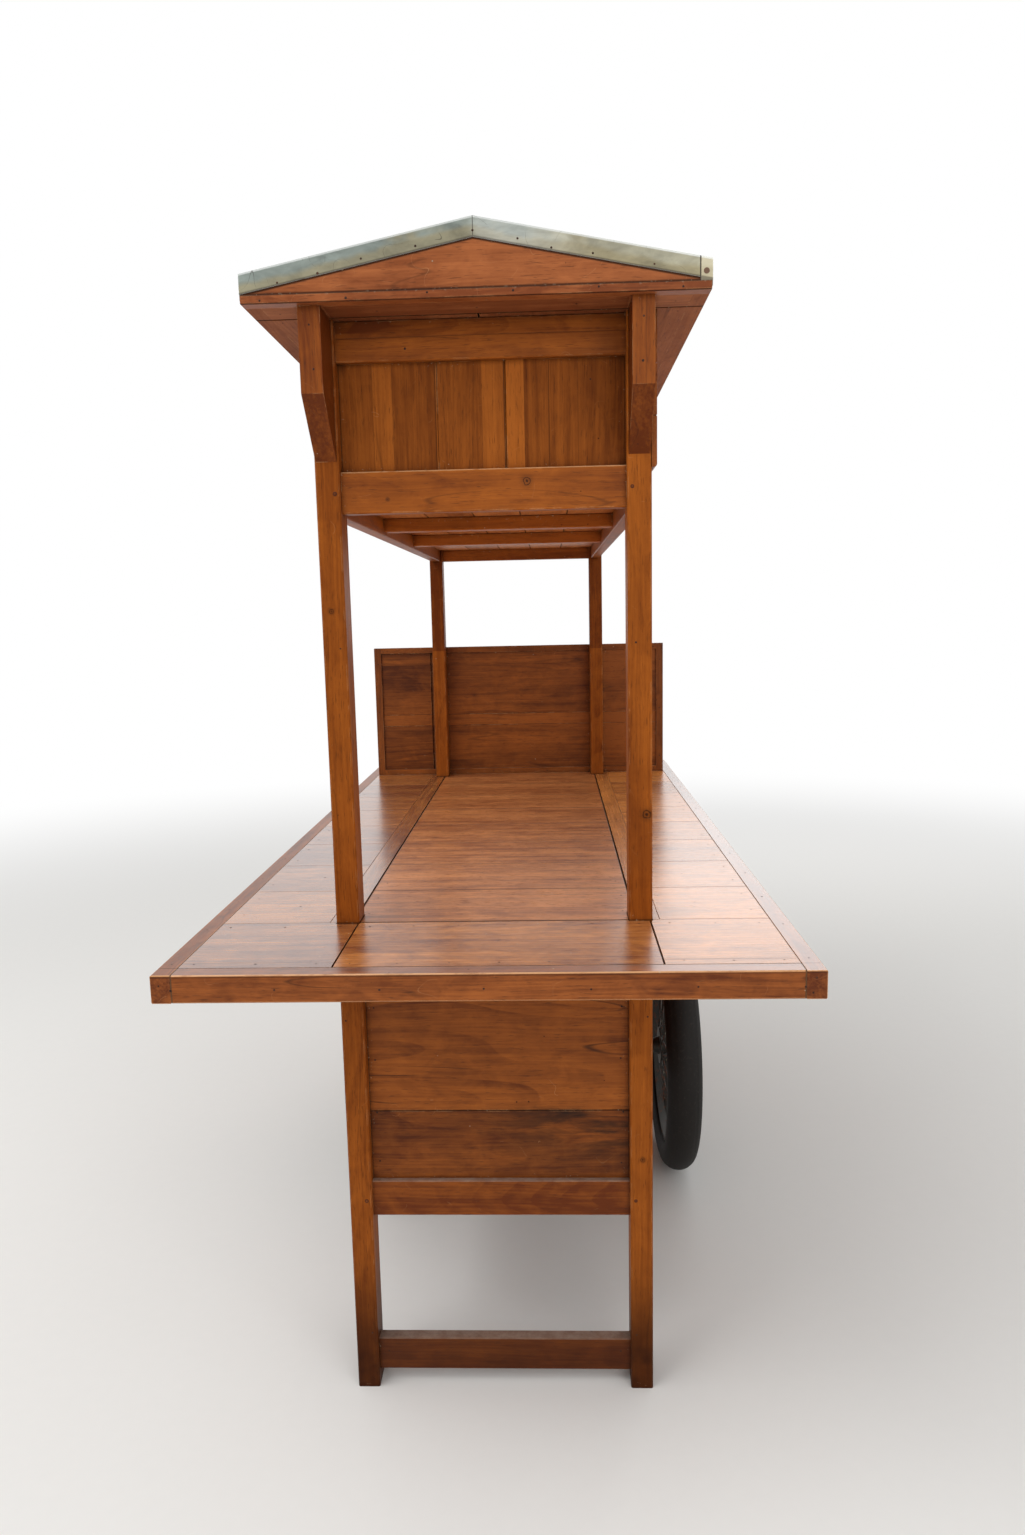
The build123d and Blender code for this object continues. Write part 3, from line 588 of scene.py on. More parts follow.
class Timber:
    """How one node's timber looks: colours, direction of the grain, boards, dirt and painted shade, worn
    arrises and painted highlights, and gloss.
    """

    # Where the grain changes direction, evenly or unevenly wide boards, a wing's strip, a stain
    turn = even = seams = strip = stain = None
    # Rows of dark lines, some of them painted shadows; bands of their own tone, some of them painted light or
    # shade; arrises with painted highlights, flecked lines, knots, varnish
    lines = bands = rubbed = flecks = knots = varnish = ()
    # Pattern of the grain
    figure, mottle, patches, veins, streaks = 0.35, 0.5, 0.7, 0.35, 1.0
    tone, seed, line, joints = 0.0, 0.0, 0.7 * MM, 0.85
    # Surface; dirt and painted shade; wear and painted highlights
    roughness, specular, relief = 0.38, 0.14, 0.3
    grime, splash, dust, wear, spread, marks = 1.0, 1.0, 0.12, 0.45, 0.5, 0.5

    def __init__(self, node, palette, grain, **looks):
        self.node = node
        self.palette = palette
        self.grain = grain
        for key, value in looks.items():
            setattr(self, key, value)

    def grain_vector(self, parts):
        """The coordinates along the fibres, which may change direction past a line."""
        vector = along_grain(parts, self.grain)
        if self.turn:
            axis, middle, reach, other = self.turn
            outside = abs(abs(parts[axis]) - middle) > reach
            vector = choose(outside, vector, along_grain(parts, other))
        return vector

    def board(self, parts):
        """The board's random number, its own tone and the mask of the joints' lines."""
        if self.even:
            axis, width, start = self.even
            inputs = {"along": parts[axis], "width": width, "start": start, "line": self.line}
            boards = use_group("Board joints", seed=self.seed + 1.0, **inputs)
            return boards["Board"], (boards["Board"] - 0.5) * 0.4, boards["Joint"]
        if self.seams:
            axis, seams = self.seams
            along = parts["X"] * (calc("SIGN", parts["Y"]) * -1.0) if axis == "end X" else parts[axis]
            tone, number, line = seam_values(along, seams)
            return number + self.seed, tone, line
        return self.seed, 0.0, 0.0

    def strip_values(self, parts):
        """Masks of the strip along a wing's inner edge: its area and the line beside it."""
        reach, end = self.strip
        within = parts["|Y|"] < end
        line = within * ease(abs(parts["|X|"] - reach), 0.3 * MM, 1.0 * MM, 0.7, 0.0)
        return within * (parts["|X|"] < reach), line

    def varnish_mask(self, tree, parts):
        """Clear varnish left on upward faces. Each row is: axis, none here, all there, how much."""
        clear = 0.0
        for axis, start, end, amount in self.varnish:
            clear = clamped(clear + ease(parts[axis], start, end, 0.0, amount))
        return clear * ease(upward(tree), 0.5, 0.9)

    def stain_mask(self, vector, parts):
        """Water and soot stains that spread below a height and towards one side of the front."""
        top, side, strength = self.stain
        low = ease(parts["Z"], top + 12 * MM, top - 4 * MM)
        across = ease(parts["X"], side - 0.20, side + 0.08, 0.25, 1.0)
        patches = noise(vector, (6.0, 6.0, 30.0), detail=4.0, roughness=0.62, distortion=0.5)
        upper = ease(parts["Z"], top - 0.11, top - 0.02, 0.3, 1.0)
        return low * across * ease(patches, 0.34, 0.58) * upper * strength

    def material(self, colours):
        """The node's finish as a material."""
        material, tree, shader = start_material("timber_" + self.node)
        vector, parts = place(tree)
        number, tone, joint = self.board(parts)
        turned = self.grain_vector(parts)
        if self.strip:
            strip, line = self.strip_values(parts)
            turned = choose(strip, turned, along_grain(parts, "Y"))
            beyond = 1.0 - strip
            number *= beyond
            tone = tone * beyond - strip * 0.04
            joint = joint * beyond | line
        # Some lines are dark joints, others painted shadows
        if self.lines:
            parts["slope"] = parts["|X|"] * roof_slope() + parts["Z"]
            joint |= line_mask(parts, self.lines)
        looks = {key: getattr(self, key) for key in ("figure", "mottle", "patches", "streaks")}
        grain = use_group("Timber grain", vector=turned, board=number, **looks)
        # These masks hold dirt together with painted shade in corners and near the ground
        dirt = use_group("Grime", vector=vector)
        marks = use_group("Old marks", vector=vector, amount=self.marks)
        # Worn arrises, and painted highlights along some of them
        worn = use_group("Arris wear and highlight", vector=vector, spread=self.spread)["Mask"] * self.wear
        if self.rubbed:
            worn |= rubbed_mask(vector, parts, self.rubbed)
        # Painted shade in corners and painted shadow lines darken together with dirt, dark joints and holes
        dirt_and_shade = dirt["Corner dirt and shade"] * (0.75 * self.grime) | joint * self.joints | marks["Holes"] * 0.8
        filled = marks["Filler"] | dirt["Specks"]
        if self.flecks:
            crumbs = noise(vector, 130.0, detail=3.0, roughness=0.6)
            filled |= ease(crumbs, 0.58, 0.66) * line_mask(parts, self.flecks)
        tone = clamped(grain["Tone"] + (band_tone(parts, self.bands) + tone) + self.tone)
        pale, deep = (getattr(colours, self.palette + end) for end in ("_pale", "_deep"))
        layers = [(grain["Pores"] * 0.42, colours.grime), (grain["Veins"] * self.veins, colours.grime)]
        if self.knots:
            layers.append((knot_mask(vector, self.knots) * 0.9, colours.grime))
        if self.stain:
            layers.append((self.stain_mask(vector, parts), colours.stain))
        layers += [
            (worn, colours.wear),
            (marks["Scratches"] * 0.3, colours.wear),
            # Darker near the ground: damp and painted shade
            (clamped(dirt["Splash"] * (0.75 * self.splash)), colours.damp),
            (dirt["Dust"] * self.dust, colours.dust),
            (dirt_and_shade, colours.grime),
            (filled * 0.55, colours.filler),
        ]
        roughness = grain["Relief"] * 0.12 + self.roughness + dirt_and_shade * 0.3 + worn * 0.15
        height = grain["Relief"] - joint * 1.4 - marks["Holes"] * 1.5
        finish = {
            "Base Color": lay(blend(tone, deep, pale), *layers),
            "Roughness": clamped(roughness),
            "Specular IOR Level": self.specular,
            "Normal": bump(height, self.relief, 0.5 * MM),
        }
        if self.varnish:
            finish.update({"Coat Weight": self.varnish_mask(tree, parts), "Coat Roughness": 0.22})
        feed(shader.inputs, finish)
        return material


def roof_slope():
    """How much the roof rises from eave to ridge, for each metre across."""
    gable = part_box("gables")[1]
    return (gable.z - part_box("roof_sheet")[0].z - SHEET_SIDE_FOLD) / gable.x


def frame_timbers():
    """Posts, rails and stretchers."""
    low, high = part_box("shelf_rails_end")
    post_knots = (((0.251, 1.0265), 0.0062), ((-0.244, 1.36), 0.0032), ((0.243, 0.43), 0.0034))
    post_knots = [((x, POST_FACE, z), radius) for (x, z), radius in post_knots]
    rail_knots = (((0.068, low.y, 1.553), 0.0054), ((-0.15, low.y, 1.531), 0.0022))
    # Post feet are darker towards the ground: damp and painted shade
    foot = dict(splash=1.35, specular=0.06, mottle=0.4, patches=0.45)
    # A dark line where the posts meet the counter: dirt and painted shadow
    foot.update(lines=(("Z", COUNTER_TOP, 3.0 * MM, 0.8),))
    pair = (("X", 0.0, 1.0, 0.12), ("X", -1.0, 0.0, -0.12))
    shade = (("Z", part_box("screen_frame")[1].z - 10 * MM, 2.0, -0.3), ("Z", 0.0, 2.0, -0.12))
    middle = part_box("upper_rails_end")[0].z + 34.5 * MM
    halves = ("Z", ((0.0, 0.04, 0.0), (middle, -0.12, 0.5)))
    # A painted highlight along the shelf rail's upper arris
    top = (("|Y|", high.y, "Z", high.z),)
    return [
        Timber("posts_front", "frame", "Z", seed=0.13, knots=post_knots, bands=pair, **foot),
        Timber("posts_rear", "frame", "Z", seed=0.57, bands=shade, **foot),
        Timber("base_rails_end", "frame", "X", seed=0.11, tone=-0.28, splash=0.4, dust=0.85),
        Timber("base_rails_side", "frame", "Y", seed=0.19, tone=-0.1, splash=0.4, dust=0.6),
        Timber("counter_rails_end", "frame", "X", seed=0.28),
        Timber("counter_rails_side", "frame", "Y", seed=0.36),
        Timber("shelf_rails_end", "frame", "X", seed=0.45, tone=0.06, wear=0.9, knots=rail_knots, rubbed=top),
        Timber("shelf_rails_side", "frame", "Y", seed=0.53),
        Timber("shelf_joists", "frame", "X", seed=0.41, tone=0.5),
        Timber("upper_rails_end", "frame", "X", seams=halves, seed=0.62, figure=0.5),
        Timber("upper_rails_side", "frame", "Y", seed=0.70),
        Timber("stretchers", "frame", "X", seed=0.9, tone=-0.5, dust=0.55, splash=0.9, mottle=0.3),
        Timber("axle_blocks", "frame", "Y", seed=0.62, tone=-0.35, grime=1.5),
    ]


def counter_timbers(sizes):
    """The counter's boards lie across it, between edge boards that run round it."""
    low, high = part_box("counter_slab")
    across = ("Y", sizes.board_width, low.y)
    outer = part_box("counter_edges_side")[1]
    inner_x, inner_y = outer.x - EDGE_BOARD_WIDTH, outer.y - EDGE_BOARD_WIDTH
    rim = (("|X|", inner_x, 1.6 * MM, 0.9), ("|Y|", inner_y, 1.4 * MM, 0.8))
    top = dict(dust=0.04, marks=1.0, line=1.3 * MM)
    gloss = dict(top, roughness=0.23, specular=0.5, relief=0.12, varnish=(("Y", 0.3, -0.6, 0.15),))
    gloss.update(figure=0.3, mottle=0.55, streaks=1.1, patches=0.4, veins=0.2, lines=rim)
    wing = dict(gloss, joints=0.4, varnish=(("X", 0.05, -0.15, 0.85), ("Y", 0.3, -0.6, 0.2)))
    # The bands paint sunlight on the right wing and shade on the left
    wing.update(strip=(sizes.strip_edge, high.y), bands=(("X", -1.0, 0.0, -0.24), ("X", 0.0, 1.0, 0.14)))
    slab = dict(top, roughness=0.26, specular=0.42, mottle=0.8, patches=0.6, streaks=2.2, relief=0.14)
    slab.update(figure=0.45, lines=(("|X|", high.x, 2.0 * MM, 0.9), ("|Y|", high.y, 2.2 * MM, 0.95)))
    # The edge boards' worn arrises are raised to paint a highlight, and their outer arrises get painted
    # highlights
    edge = dict(roughness=0.34, specular=0.16, wear=1.0, spread=1.4, marks=1.3, mottle=0.7, streaks=1.4)
    edge.update(veins=0.5, tone=-0.08, lines=rim + (("Z", COUNTER_TOP - 3.4 * MM, 1.4 * MM, 0.5),))
    edge.update(rubbed=(("|X|", outer.x, "Z", COUNTER_TOP), ("|Y|", outer.y, "Z", COUNTER_TOP)))
    side = dict(edge, bands=(("|Y|", outer.y - 0.5 * MM, 2.0, -0.3),))
    side.update(varnish=(("X", -0.3, 0.3, 0.55), ("|X|", -1.0, 0.0, 0.25)))
    return [
        Timber("counter_slab", "counter", "X", even=across, seed=0.2, tone=-0.02, **slab),
        Timber("counter_wings", "wing", "X", even=across, seed=0.4, **wing),
        Timber("counter_ends", "wing", "X", seed=0.65, tone=-0.19, **gloss),
        Timber("counter_edges_side", "edge", "Y", seed=0.31, **side),
        Timber("counter_edges_end", "edge", "X", seed=0.72, varnish=(("|X|", -1.0, 0.0, 0.8),), **edge),
        Timber("counter_bearers", "frame", "X", seed=0.35, tone=-0.2, dust=0.3),
        Timber("counter_arms", "frame", "Y", seed=0.47, tone=-0.2, dust=0.3),
    ]


def cupboard_timbers():
    """The cupboard's boards, floor, stiles and framed doors."""
    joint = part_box("cupboard_boards_end")[0].z + 124 * MM
    end_boards = ("Z", ((0.0, -0.22, 0.0), (joint, 0.06, 0.9)))
    side_boards = ("Z", ((0.0, -0.15, 0.0), (joint, 0.05, 0.9)))
    floor_boards = ("X", 118 * MM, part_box("cupboard_floor")[0].x)
    # Painted shadows beside the posts and under the counter rail
    shadow_lines = (("|X|", POST_INSIDE, 2.0 * MM, 0.8), ("Z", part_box("counter_rails_end")[0].z, 2.6 * MM, 0.8))
    dirt_and_shade = dict(stain=(joint, 0.12, 0.95), figure=0.6, patches=0.5, veins=0.7, lines=shadow_lines)
    rows = [
        Timber("cupboard_boards_end", "board", "X", seams=end_boards, seed=0.3, **dirt_and_shade),
        Timber("cupboard_boards_side", "board", "Y", seams=side_boards, figure=0.5, seed=0.5),
        Timber("cupboard_floor", "board", "Y", even=floor_boards, tone=-0.2, dust=0.5),
        Timber("door_stiles", "frame", "Z", seed=0.22),
    ]
    for name in ("door_front", "door_rear"):
        low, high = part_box(name)
        middle = abs(low.y + high.y) / 2
        reach = (high.y - low.y) / 2 - 46 * MM
        rows.append(Timber(name, "board", "Y", turn=("Y", middle, reach, "Z"), seed=0.1 + middle))
    return rows


# Boards of the box's ends. Each row is: seam before the board in millimetres from the middle, tone, line
END_BOARDS = (
    (0, 0.02, 0.0),
    (-170, 0.26, 0.35),
    (-139, -0.12, 0.25),
    (-72, -0.06, 0.7),
    (0, 0.2, 0.2),
    (35, 0.3, 1.0),
    (66, -0.14, 0.35),
    (104, -0.1, 0.6),
    (149, -0.12, 0.25),
)
# Boards of the rear screen, in millimetres above the counter
SCREEN_BOARDS = ((0, -0.1, 0.0), (45, 0.02, 0.25), (155, 0.42, 0.35), (190, -0.06, 0.3), (345, 0.16, 0.25))


def overhead_timbers():
    """The overhead box's boarded floor, upright end boards and closed side."""
    low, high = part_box("shelf_boards")
    floor_boards = ("X", (high.x - low.x + 2 * MM) / 5, low.x - 1 * MM)
    end_boards = ("end X", [(spot * MM, tone, line) for spot, tone, line in END_BOARDS])
    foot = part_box("shelf_side_board")[0].z
    side_boards = ("Z", ((0.0, 0.0, 0.0), (foot + 76 * MM, 0.1, 0.9), (foot + 152 * MM, -0.1, 0.9)))
    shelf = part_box("shelf_rails_end")[1].z
    # Painted shadows beside the posts and along the shelf rail
    shadow_lines = (("|X|", POST_INSIDE, 2.0 * MM, 0.8), ("Z", shelf, 1.8 * MM, 0.7))
    calm = dict(figure=0.2, mottle=0.3, patches=0.3, veins=0.3, specular=0.05)
    calm.update(flecks=(("Z", shelf, 3.0 * MM, 0.8),))
    return [
        Timber("shelf_boards", "counter", "Y", even=floor_boards, seed=0.6, tone=0.15),
        Timber("shelf_end_boards", "board", "Z", seams=end_boards, lines=shadow_lines, **calm),
        Timber("shelf_side_board", "board", "Y", seams=side_boards, seed=0.4),
    ]


def screen_timbers():
    """The framed board across the rear end of the counter."""
    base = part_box("screen_frame")[0].z
    boards = ("Z", [(base + spot * MM, tone, line) for spot, tone, line in SCREEN_BOARDS])
    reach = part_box("screen_boards")[1].x
    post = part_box("posts_rear")[1].x
    # Painted light on the right part and painted shade on the left
    lit_and_shaded_sides = (("X", post, 2.0, 0.35), ("X", -2.0, -post, -0.15))
    return [
        Timber("screen_frame", "screen", "X", turn=("X", 0.0, reach, "Z"), seed=0.3, tone=0.05),
        Timber("screen_boards", "screen", "X", seams=boards, figure=0.5, seed=0.8, marks=0.3, bands=lit_and_shaded_sides),
    ]


def roof_timbers():
    """Brackets, soffit, gables, trims and eave boards."""
    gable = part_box("gables")[1]
    trim_low, trim_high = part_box("gable_trims")
    low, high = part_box("brackets")
    joint = gable.y - 81.5 * MM
    under_fold = gable.z - SHEET_END_FOLD - 0.6 * MM
    shadow = (("slope", under_fold, 2.6 * MM, 0.95), ("Z", trim_high.z, 4.2 * MM, 0.95))
    above = (("Z", trim_high.z, 1.8 * MM, 0.9), ("Z", trim_low.z, 1.2 * MM, 0.8))
    # Painted shade on the brackets' sloped lower faces and inner sides
    shaded_faces = (("Z", 0.0, low.z + 87 * MM, -0.28), ("|X|", 0.0, high.x - 32.5 * MM, -0.45))
    dull = dict(specular=0.08, roughness=0.6, lines=(("|Y|", joint + 1.0 * MM, 4.0 * MM, 0.95),))
    # The band paints shade on the soffit and eave boards between the posts
    dull.update(bands=(("|X|", 0.0, POST_INSIDE, -0.5),))
    chips = dict(marks=1.3, flecks=(("Z", trim_high.z, 4.0 * MM, 0.25),))
    return [
        Timber("brackets", "frame", "Z", seed=0.77, tone=-0.14, mottle=0.3, bands=shaded_faces),
        Timber("soffit_boards", "soffit", "Y", turn=("Y", 0.0, joint, "X"), seed=0.45, **dull),
        Timber("gables", "gable", "X", figure=0.25, mottle=0.7, seed=0.36, lines=shadow, **chips),
        Timber("gable_trims", "gable", "X", seed=0.9, tone=-0.38, mottle=1.0, lines=above, **chips),
        Timber("eave_boards", "soffit", "Y", seed=0.15, **dull),
    ]


class CART_OT_timber(bpy.types.Operator):
    """Give every timber node its varnished, worn grain"""

    bl_idname = "cart.timber"
    bl_label = "Timber"

    def execute(self, context):
        make_shader_groups()
        timbers = frame_timbers() + counter_timbers(context.scene.cart_sizes) + cupboard_timbers()
        timbers += overhead_timbers() + screen_timbers() + roof_timbers()
        for timber in timbers:
            dress(timber.node, timber.material(context.scene.cart_colours))
        return {"FINISHED"}


# Metal and rubber

def sheet_material(colours):
    """Weathered zinc-coated sheet: smears, yellowish hem, painted sunlight on one slope, painted highlights
    on the upper arris and near the ridge, painted shade in a crease, and a lapped tab.
    """
    material, tree, shader = start_material("roof_sheet")
    vector, parts = place(tree)
    low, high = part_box("roof_sheet")
    across = parts["|X|"]
    drop = high.z - (across * roof_slope() + parts["Z"])
    folded = ease(abs(upward(tree)), 0.6, 0.3)
    crystal = split(get(tree, "TexVoronoi", {"Vector": vector, "Scale": 90.0}, "Color"), "SeparateColor")[0]
    patches = noise(vector, (7.0, 7.0, 9.0), detail=4.0, roughness=0.6, distortion=0.5)
    smears = noise(vector, (13.0, 24.0, 34.0), detail=4.0, roughness=0.65, distortion=0.5)
    uneven = patches - 0.5
    # Painted sunlight on the slope towards +X
    sunny = ease(uneven * 0.3 + parts["X"], -0.02, 0.14, 0.0, 0.85)
    below = ease(uneven * 0.035 + drop, 10 * MM, 19 * MM, 0.0, 0.65)
    patch = below * folded | ease(patches, 0.56, 0.66, 0.0, 0.6)
    # A painted highlight near the ridge, on the slope towards +X
    ridge = ease(parts["X"], 0.19, 0.06) * ease(parts["X"], -0.01, 0.01, 0.0, 0.45)
    # The tab that is lapped round the corner and held by a rusty screw
    flat_end = parts["|Y|"] > high.y - 0.2 * MM
    tab_end = (parts["X"] * parts["Y"] < 0.0) * flat_end
    tab_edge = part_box("eave_boards")[1].x - 16 * MM
    tab = tab_end * (across > tab_edge)
    screw = apart(across - (tab_edge + 8.5 * MM), parts["Z"] - (low.z + 19.5 * MM))
    screw = ease(screw, 4.6 * MM, 3.8 * MM) * tab_end
    rust = use_group("Rust spots", vector=vector, scale=26.0, amount=0.14)["Mask"]
    # Painted highlight on the upper arris, dark hem, painted shade in the crease at the ridge, line of the
    # tab, holes and scratches
    arris = use_group("Arris wear and highlight", vector=vector, radius=0.0015, spread=1.2)["Mask"]
    bright = (arris | ease(drop, 3.2 * MM, 1.6 * MM) * folded) * 0.65
    marks = use_group("Old marks", vector=vector, amount=1.2, radius=0.0012)
    # Painted shade along the crease where the two slopes meet
    crease = ease(across, 1.2 * MM, 0.3 * MM, 0.0, 0.7) * flat_end
    seam = crease | ease(abs(across - tab_edge), 0.5 * MM, 1.5 * MM, 0.9, 0.0) * tab_end
    hem = ease(drop, 25.0 * MM, 27.2 * MM, 0.0, 0.6) * folded
    colour = lay(blend(sunny, colours.sheet, colours.sheet_cream), (patch, colours.sheet_patch))
    colour = lay(
        shaded(colour, smears * 1.3 + (crystal * 0.06 + 0.12)),
        (ridge * smears, colours.sheet_bright),
        (tab * 0.5, colours.sheet_tab),
        (rust * 0.5 | screw * 0.9, colours.rust),
        (bright, colours.sheet_bright),
        (seam | (marks["Holes"] | marks["Scratches"]) * 0.6 | hem, colours.grime),
    )
    height = noise(vector, 18.0) + screw * 0.3 - seam * 0.3
    dull = patch | screw
    finish = {"Base Color": colour, "Roughness": smears * 0.35 + 0.24 + dull * 0.15}
    finish.update({"Metallic": 0.7 - dull * 0.5, "Normal": bump(height, 0.5, 2.5 * MM)})
    feed(shader.inputs, finish)
    return material


def steel_material(name, colour, colours, rust_amount, roughness, scale=90.0):
    """Bare or plated steel with rust spots, and dirt and painted shade in its corners."""
    material, tree, shader = start_material(name)
    vector, _ = place(tree)
    rust = use_group("Rust spots", vector=vector, scale=scale, amount=rust_amount)
    corners = use_group("Grime", vector=vector, reach=0.01)["Corner dirt and shade"]
    base = shaded(colour, noise(vector, 35.0, detail=3.0) * 0.5 + 0.72)
    # Dirt and painted shade in the corners, from ambient occlusion
    base = lay(base, (rust["Mask"], colours.rust), (corners * 0.7, colours.grime))
    finish = {"Base Color": base, "Normal": bump(rust["Relief"], 0.3, 0.4 * MM)}
    finish.update({"Metallic": 0.7 - rust["Mask"] * 0.6, "Roughness": rust["Mask"] * 0.4 + roughness})
    feed(shader.inputs, finish)
    return material


def rubber_material(colours):
    """Old tyre rubber: faded, dusty in patches, with fine cracks."""
    material, tree, shader = start_material("tyre_rubber")
    vector, _ = place(tree)
    cloud = noise(vector, 20.0, detail=4.0, roughness=0.6)
    specks = noise(vector, 160.0, roughness=0.7)
    dusty = ease(specks, 0.55, 0.75) * 0.25
    base = lay(shaded(colours.rubber, cloud * 0.9 + 0.6), (dusty, colours.road_dust))
    cracks = get(tree, "TexVoronoi", {"Vector": vector, "Scale": 180.0}, feature="DISTANCE_TO_EDGE")
    height = ease(cracks, 0.0, 0.05) * 0.5 + specks * 0.5
    finish = {"Base Color": base, "Roughness": cloud * 0.25 + 0.55, "Specular IOR Level": 0.22}
    feed(shader.inputs, {**finish, "Normal": bump(height, 0.25, 0.4 * MM)})
    return material


class CART_OT_metalwork(bpy.types.Operator):
    """Finish the roof sheet, hinges, axle, hubs, rims and spokes"""

    bl_idname = "cart.metalwork"
    bl_label = "Metalwork"

    def execute(self, context):
        make_shader_groups()
        colours = context.scene.cart_colours
        dress("roof_sheet", sheet_material(colours))
        leaves = ("hinge_post_leaves", "door_front_leaves", "door_rear_leaves")
        # Each row is: material, colour, rust, roughness, how fine the rust is, nodes
        metals = (
            ("dull_steel", colours.steel, 0.55, 0.45, 90.0, ("axle", *leaves)),
            # Rims, spokes and hubs take dark colours that partly paint the shade inside the wheels
            ("rim_plating", colours.rim, 0.5, 0.38, 40.0, ("rim_left", "rim_right")),
            ("spoke_plating", colours.rim, 0.6, 0.4, 90.0, ("spokes_left", "spokes_right")),
            ("hub_metal", colours.hub, 0.4, 0.5, 90.0, ("hub_left", "hub_right")),
        )
        for name, colour, rust, roughness, scale, nodes in metals:
            metal = steel_material(name, colour, colours, rust, roughness, scale)
            for node in nodes:
                dress(node, metal)
        return {"FINISHED"}


# Mesh building

def new_piece(name, mesh, body):
    """A piece that rides on a body."""
    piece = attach(new_object(name, mesh), body)
    return piece


def turned_mesh(name, profile, centre, axis, segments, material, closed=False):
    """A lathe-turned mesh: (along, radius) points swept round an axis through the centre."""
    axis = Vector(axis).normalized()
    side = axis.orthogonal().normalized()
    other = axis.cross(side)
    mesh = bpy.data.meshes.new(name)
    shape = bmesh.new()
    rings = []
    for along, radius in profile:
        if radius < 1e-6:
            rings.append([shape.verts.new(centre + axis * along)])
            continue
        angles = [2 * math.pi * step / segments for step in range(segments)]
        ways = [side * math.cos(angle) + other * math.sin(angle) for angle in angles]
        rings.append([shape.verts.new(centre + axis * along + way * radius) for way in ways])
    pairs = list(zip(rings, rings[1:]))
    if closed:
        pairs.append((rings[-1], rings[0]))
    for first, second in pairs:
        for step in range(segments):
            later = (step + 1) % segments
            corners = [first[step % len(first)], first[later % len(first)]]
            corners += [second[later % len(second)], second[step % len(second)]]
            unique = list(dict.fromkeys(corners))
            if len(unique) > 2:
                shape.faces.new(unique)
    bmesh.ops.recalc_face_normals(shape, faces=shape.faces)
    for face in shape.faces:
        face.smooth = True
    shape.to_mesh(mesh)
    shape.free()
    mesh.materials.append(material)
    return mesh


def close_geometry(tree, placing, finish):
    """Set instances at points, make them real and give them their finish."""
    tree.is_modifier = True
    placed = get(tree, "GeometryNodeInstanceOnPoints", placing)
    real = get(tree, "GeometryNodeRealizeInstances", {"Geometry": placed})
    dressed = get(tree, "GeometryNodeSetMaterial", {"Geometry": real, "Material": finish})
    close_group(tree, "Geometry", {"Pieces": dressed})
    return tree


def grown(name, mesh, tree, values):
    """A geometry tree run on a mesh, returned as a plain mesh."""
    carrier = new_object(name + "_rows", mesh)
    modifier = carrier.modifiers.new(name, "NODES")
    modifier.node_group = tree
    for item in tree.interface.items_tree:
        if item.in_out == "INPUT" and item.name in values:
            modifier[item.identifier] = values[item.name]
    bpy.context.view_layer.update()
    graph = bpy.context.evaluated_depsgraph_get()
    made = bpy.data.meshes.new_from_object(carrier.evaluated_get(graph))
    made.name = name
    carrier.modifiers.clear()
    bpy.data.objects.remove(carrier)
    return made


# Fastenings

def make_heads_tree(name):
    """Round heads set at points, a little out of line, each turned to face the way its point says."""
    inputs = {"Points": "Geometry", "Radius": 0.002, "Height": 0.0003, "Crown": 0.6, "Scatter": 0.001}
    inputs.update({"Uneven": 0.2, "Sides": 10, "Seed": 3, "Finish": "Material"})
    tree, given = open_group(name, "GeometryNodeTree", inputs)
    points, radius, height, crown, scatter, uneven, lit_and_shaded_sides, seed, finish = given
    facing = get(tree, "GeometryNodeInputNamedAttribute", {"Name": "facing"}, data_type="FLOAT_VECTOR")
    reach = {0: scatter * -1.0, 1: scatter, "Seed": seed}
    spread = get(tree, "FunctionNodeRandomValue", reach, data_type="FLOAT_VECTOR")
    rise = vector_calc("SCALE", facing, vector_calc("DOT_PRODUCT", spread, facing))
    offset = vector_calc("SUBTRACT", spread, rise)
    moved = get(tree, "GeometryNodeSetPosition", {"Geometry": points, "Offset": offset})
    cone = {"Vertices": lit_and_shaded_sides, "Radius Top": radius * crown, "Radius Bottom": radius, "Depth": height}
    head = get(tree, "GeometryNodeMeshCone", cone)
    turn = get(tree, "FunctionNodeAlignRotationToVector", {"Vector": facing}, axis="Z")
    least = {2: 1.0 - uneven, 3: 1.0, "Seed": seed}
    scale = get(tree, "FunctionNodeRandomValue", least, 1, data_type="FLOAT")
    return close_geometry(tree, {"Points": moved, "Instance": head, "Rotation": turn, "Scale": scale}, finish)


def set_heads(name, spots, values, body):
    """Heads at spots as one piece on a body. Each spot is: place, facing."""
    mesh = bpy.data.meshes.new(name)
    mesh.from_pydata([spot for spot, _ in spots], [], [])
    facing = mesh.attributes.new("facing", "FLOAT_VECTOR", "POINT")
    for i, (_, way) in enumerate(spots):
        facing.data[i].vector = way
    kind = "Heads at points"
    tree = bpy.data.node_groups.get(kind) or make_heads_tree(kind)
    new_piece(name, grown(name, mesh, tree, values), body)


def row(start, end, step, way):
    """Spots at even steps from start to end, about as far apart as asked."""
    start, end = Vector(start), Vector(end)
    count = max(1, round((end - start).length / step))
    return [(start.lerp(end, i / count), way) for i in range(count + 1)]


def mirrored(spots, across=True, along=True):
    """Spots repeated on the cart's other side, its other end, or both."""
    result = list(spots)
    if across:
        result += [(flip(spot, 0), flip(way, 0)) for spot, way in result]
    if along:
        result += [(flip(spot, 1), flip(way, 1)) for spot, way in result]
    return result


def flip(point, axis):
    """A point or direction mirrored in one axis."""
    return tuple(-value if i == axis else value for i, value in enumerate(point))


FRONT = (0.0, -1.0, 0.0)
LEFT = (-1.0, 0.0, 0.0)
RIGHT = (1.0, 0.0, 0.0)
TOP = (0.0, 0.0, 1.0)
UNDER = (0.0, 0.0, -1.0)

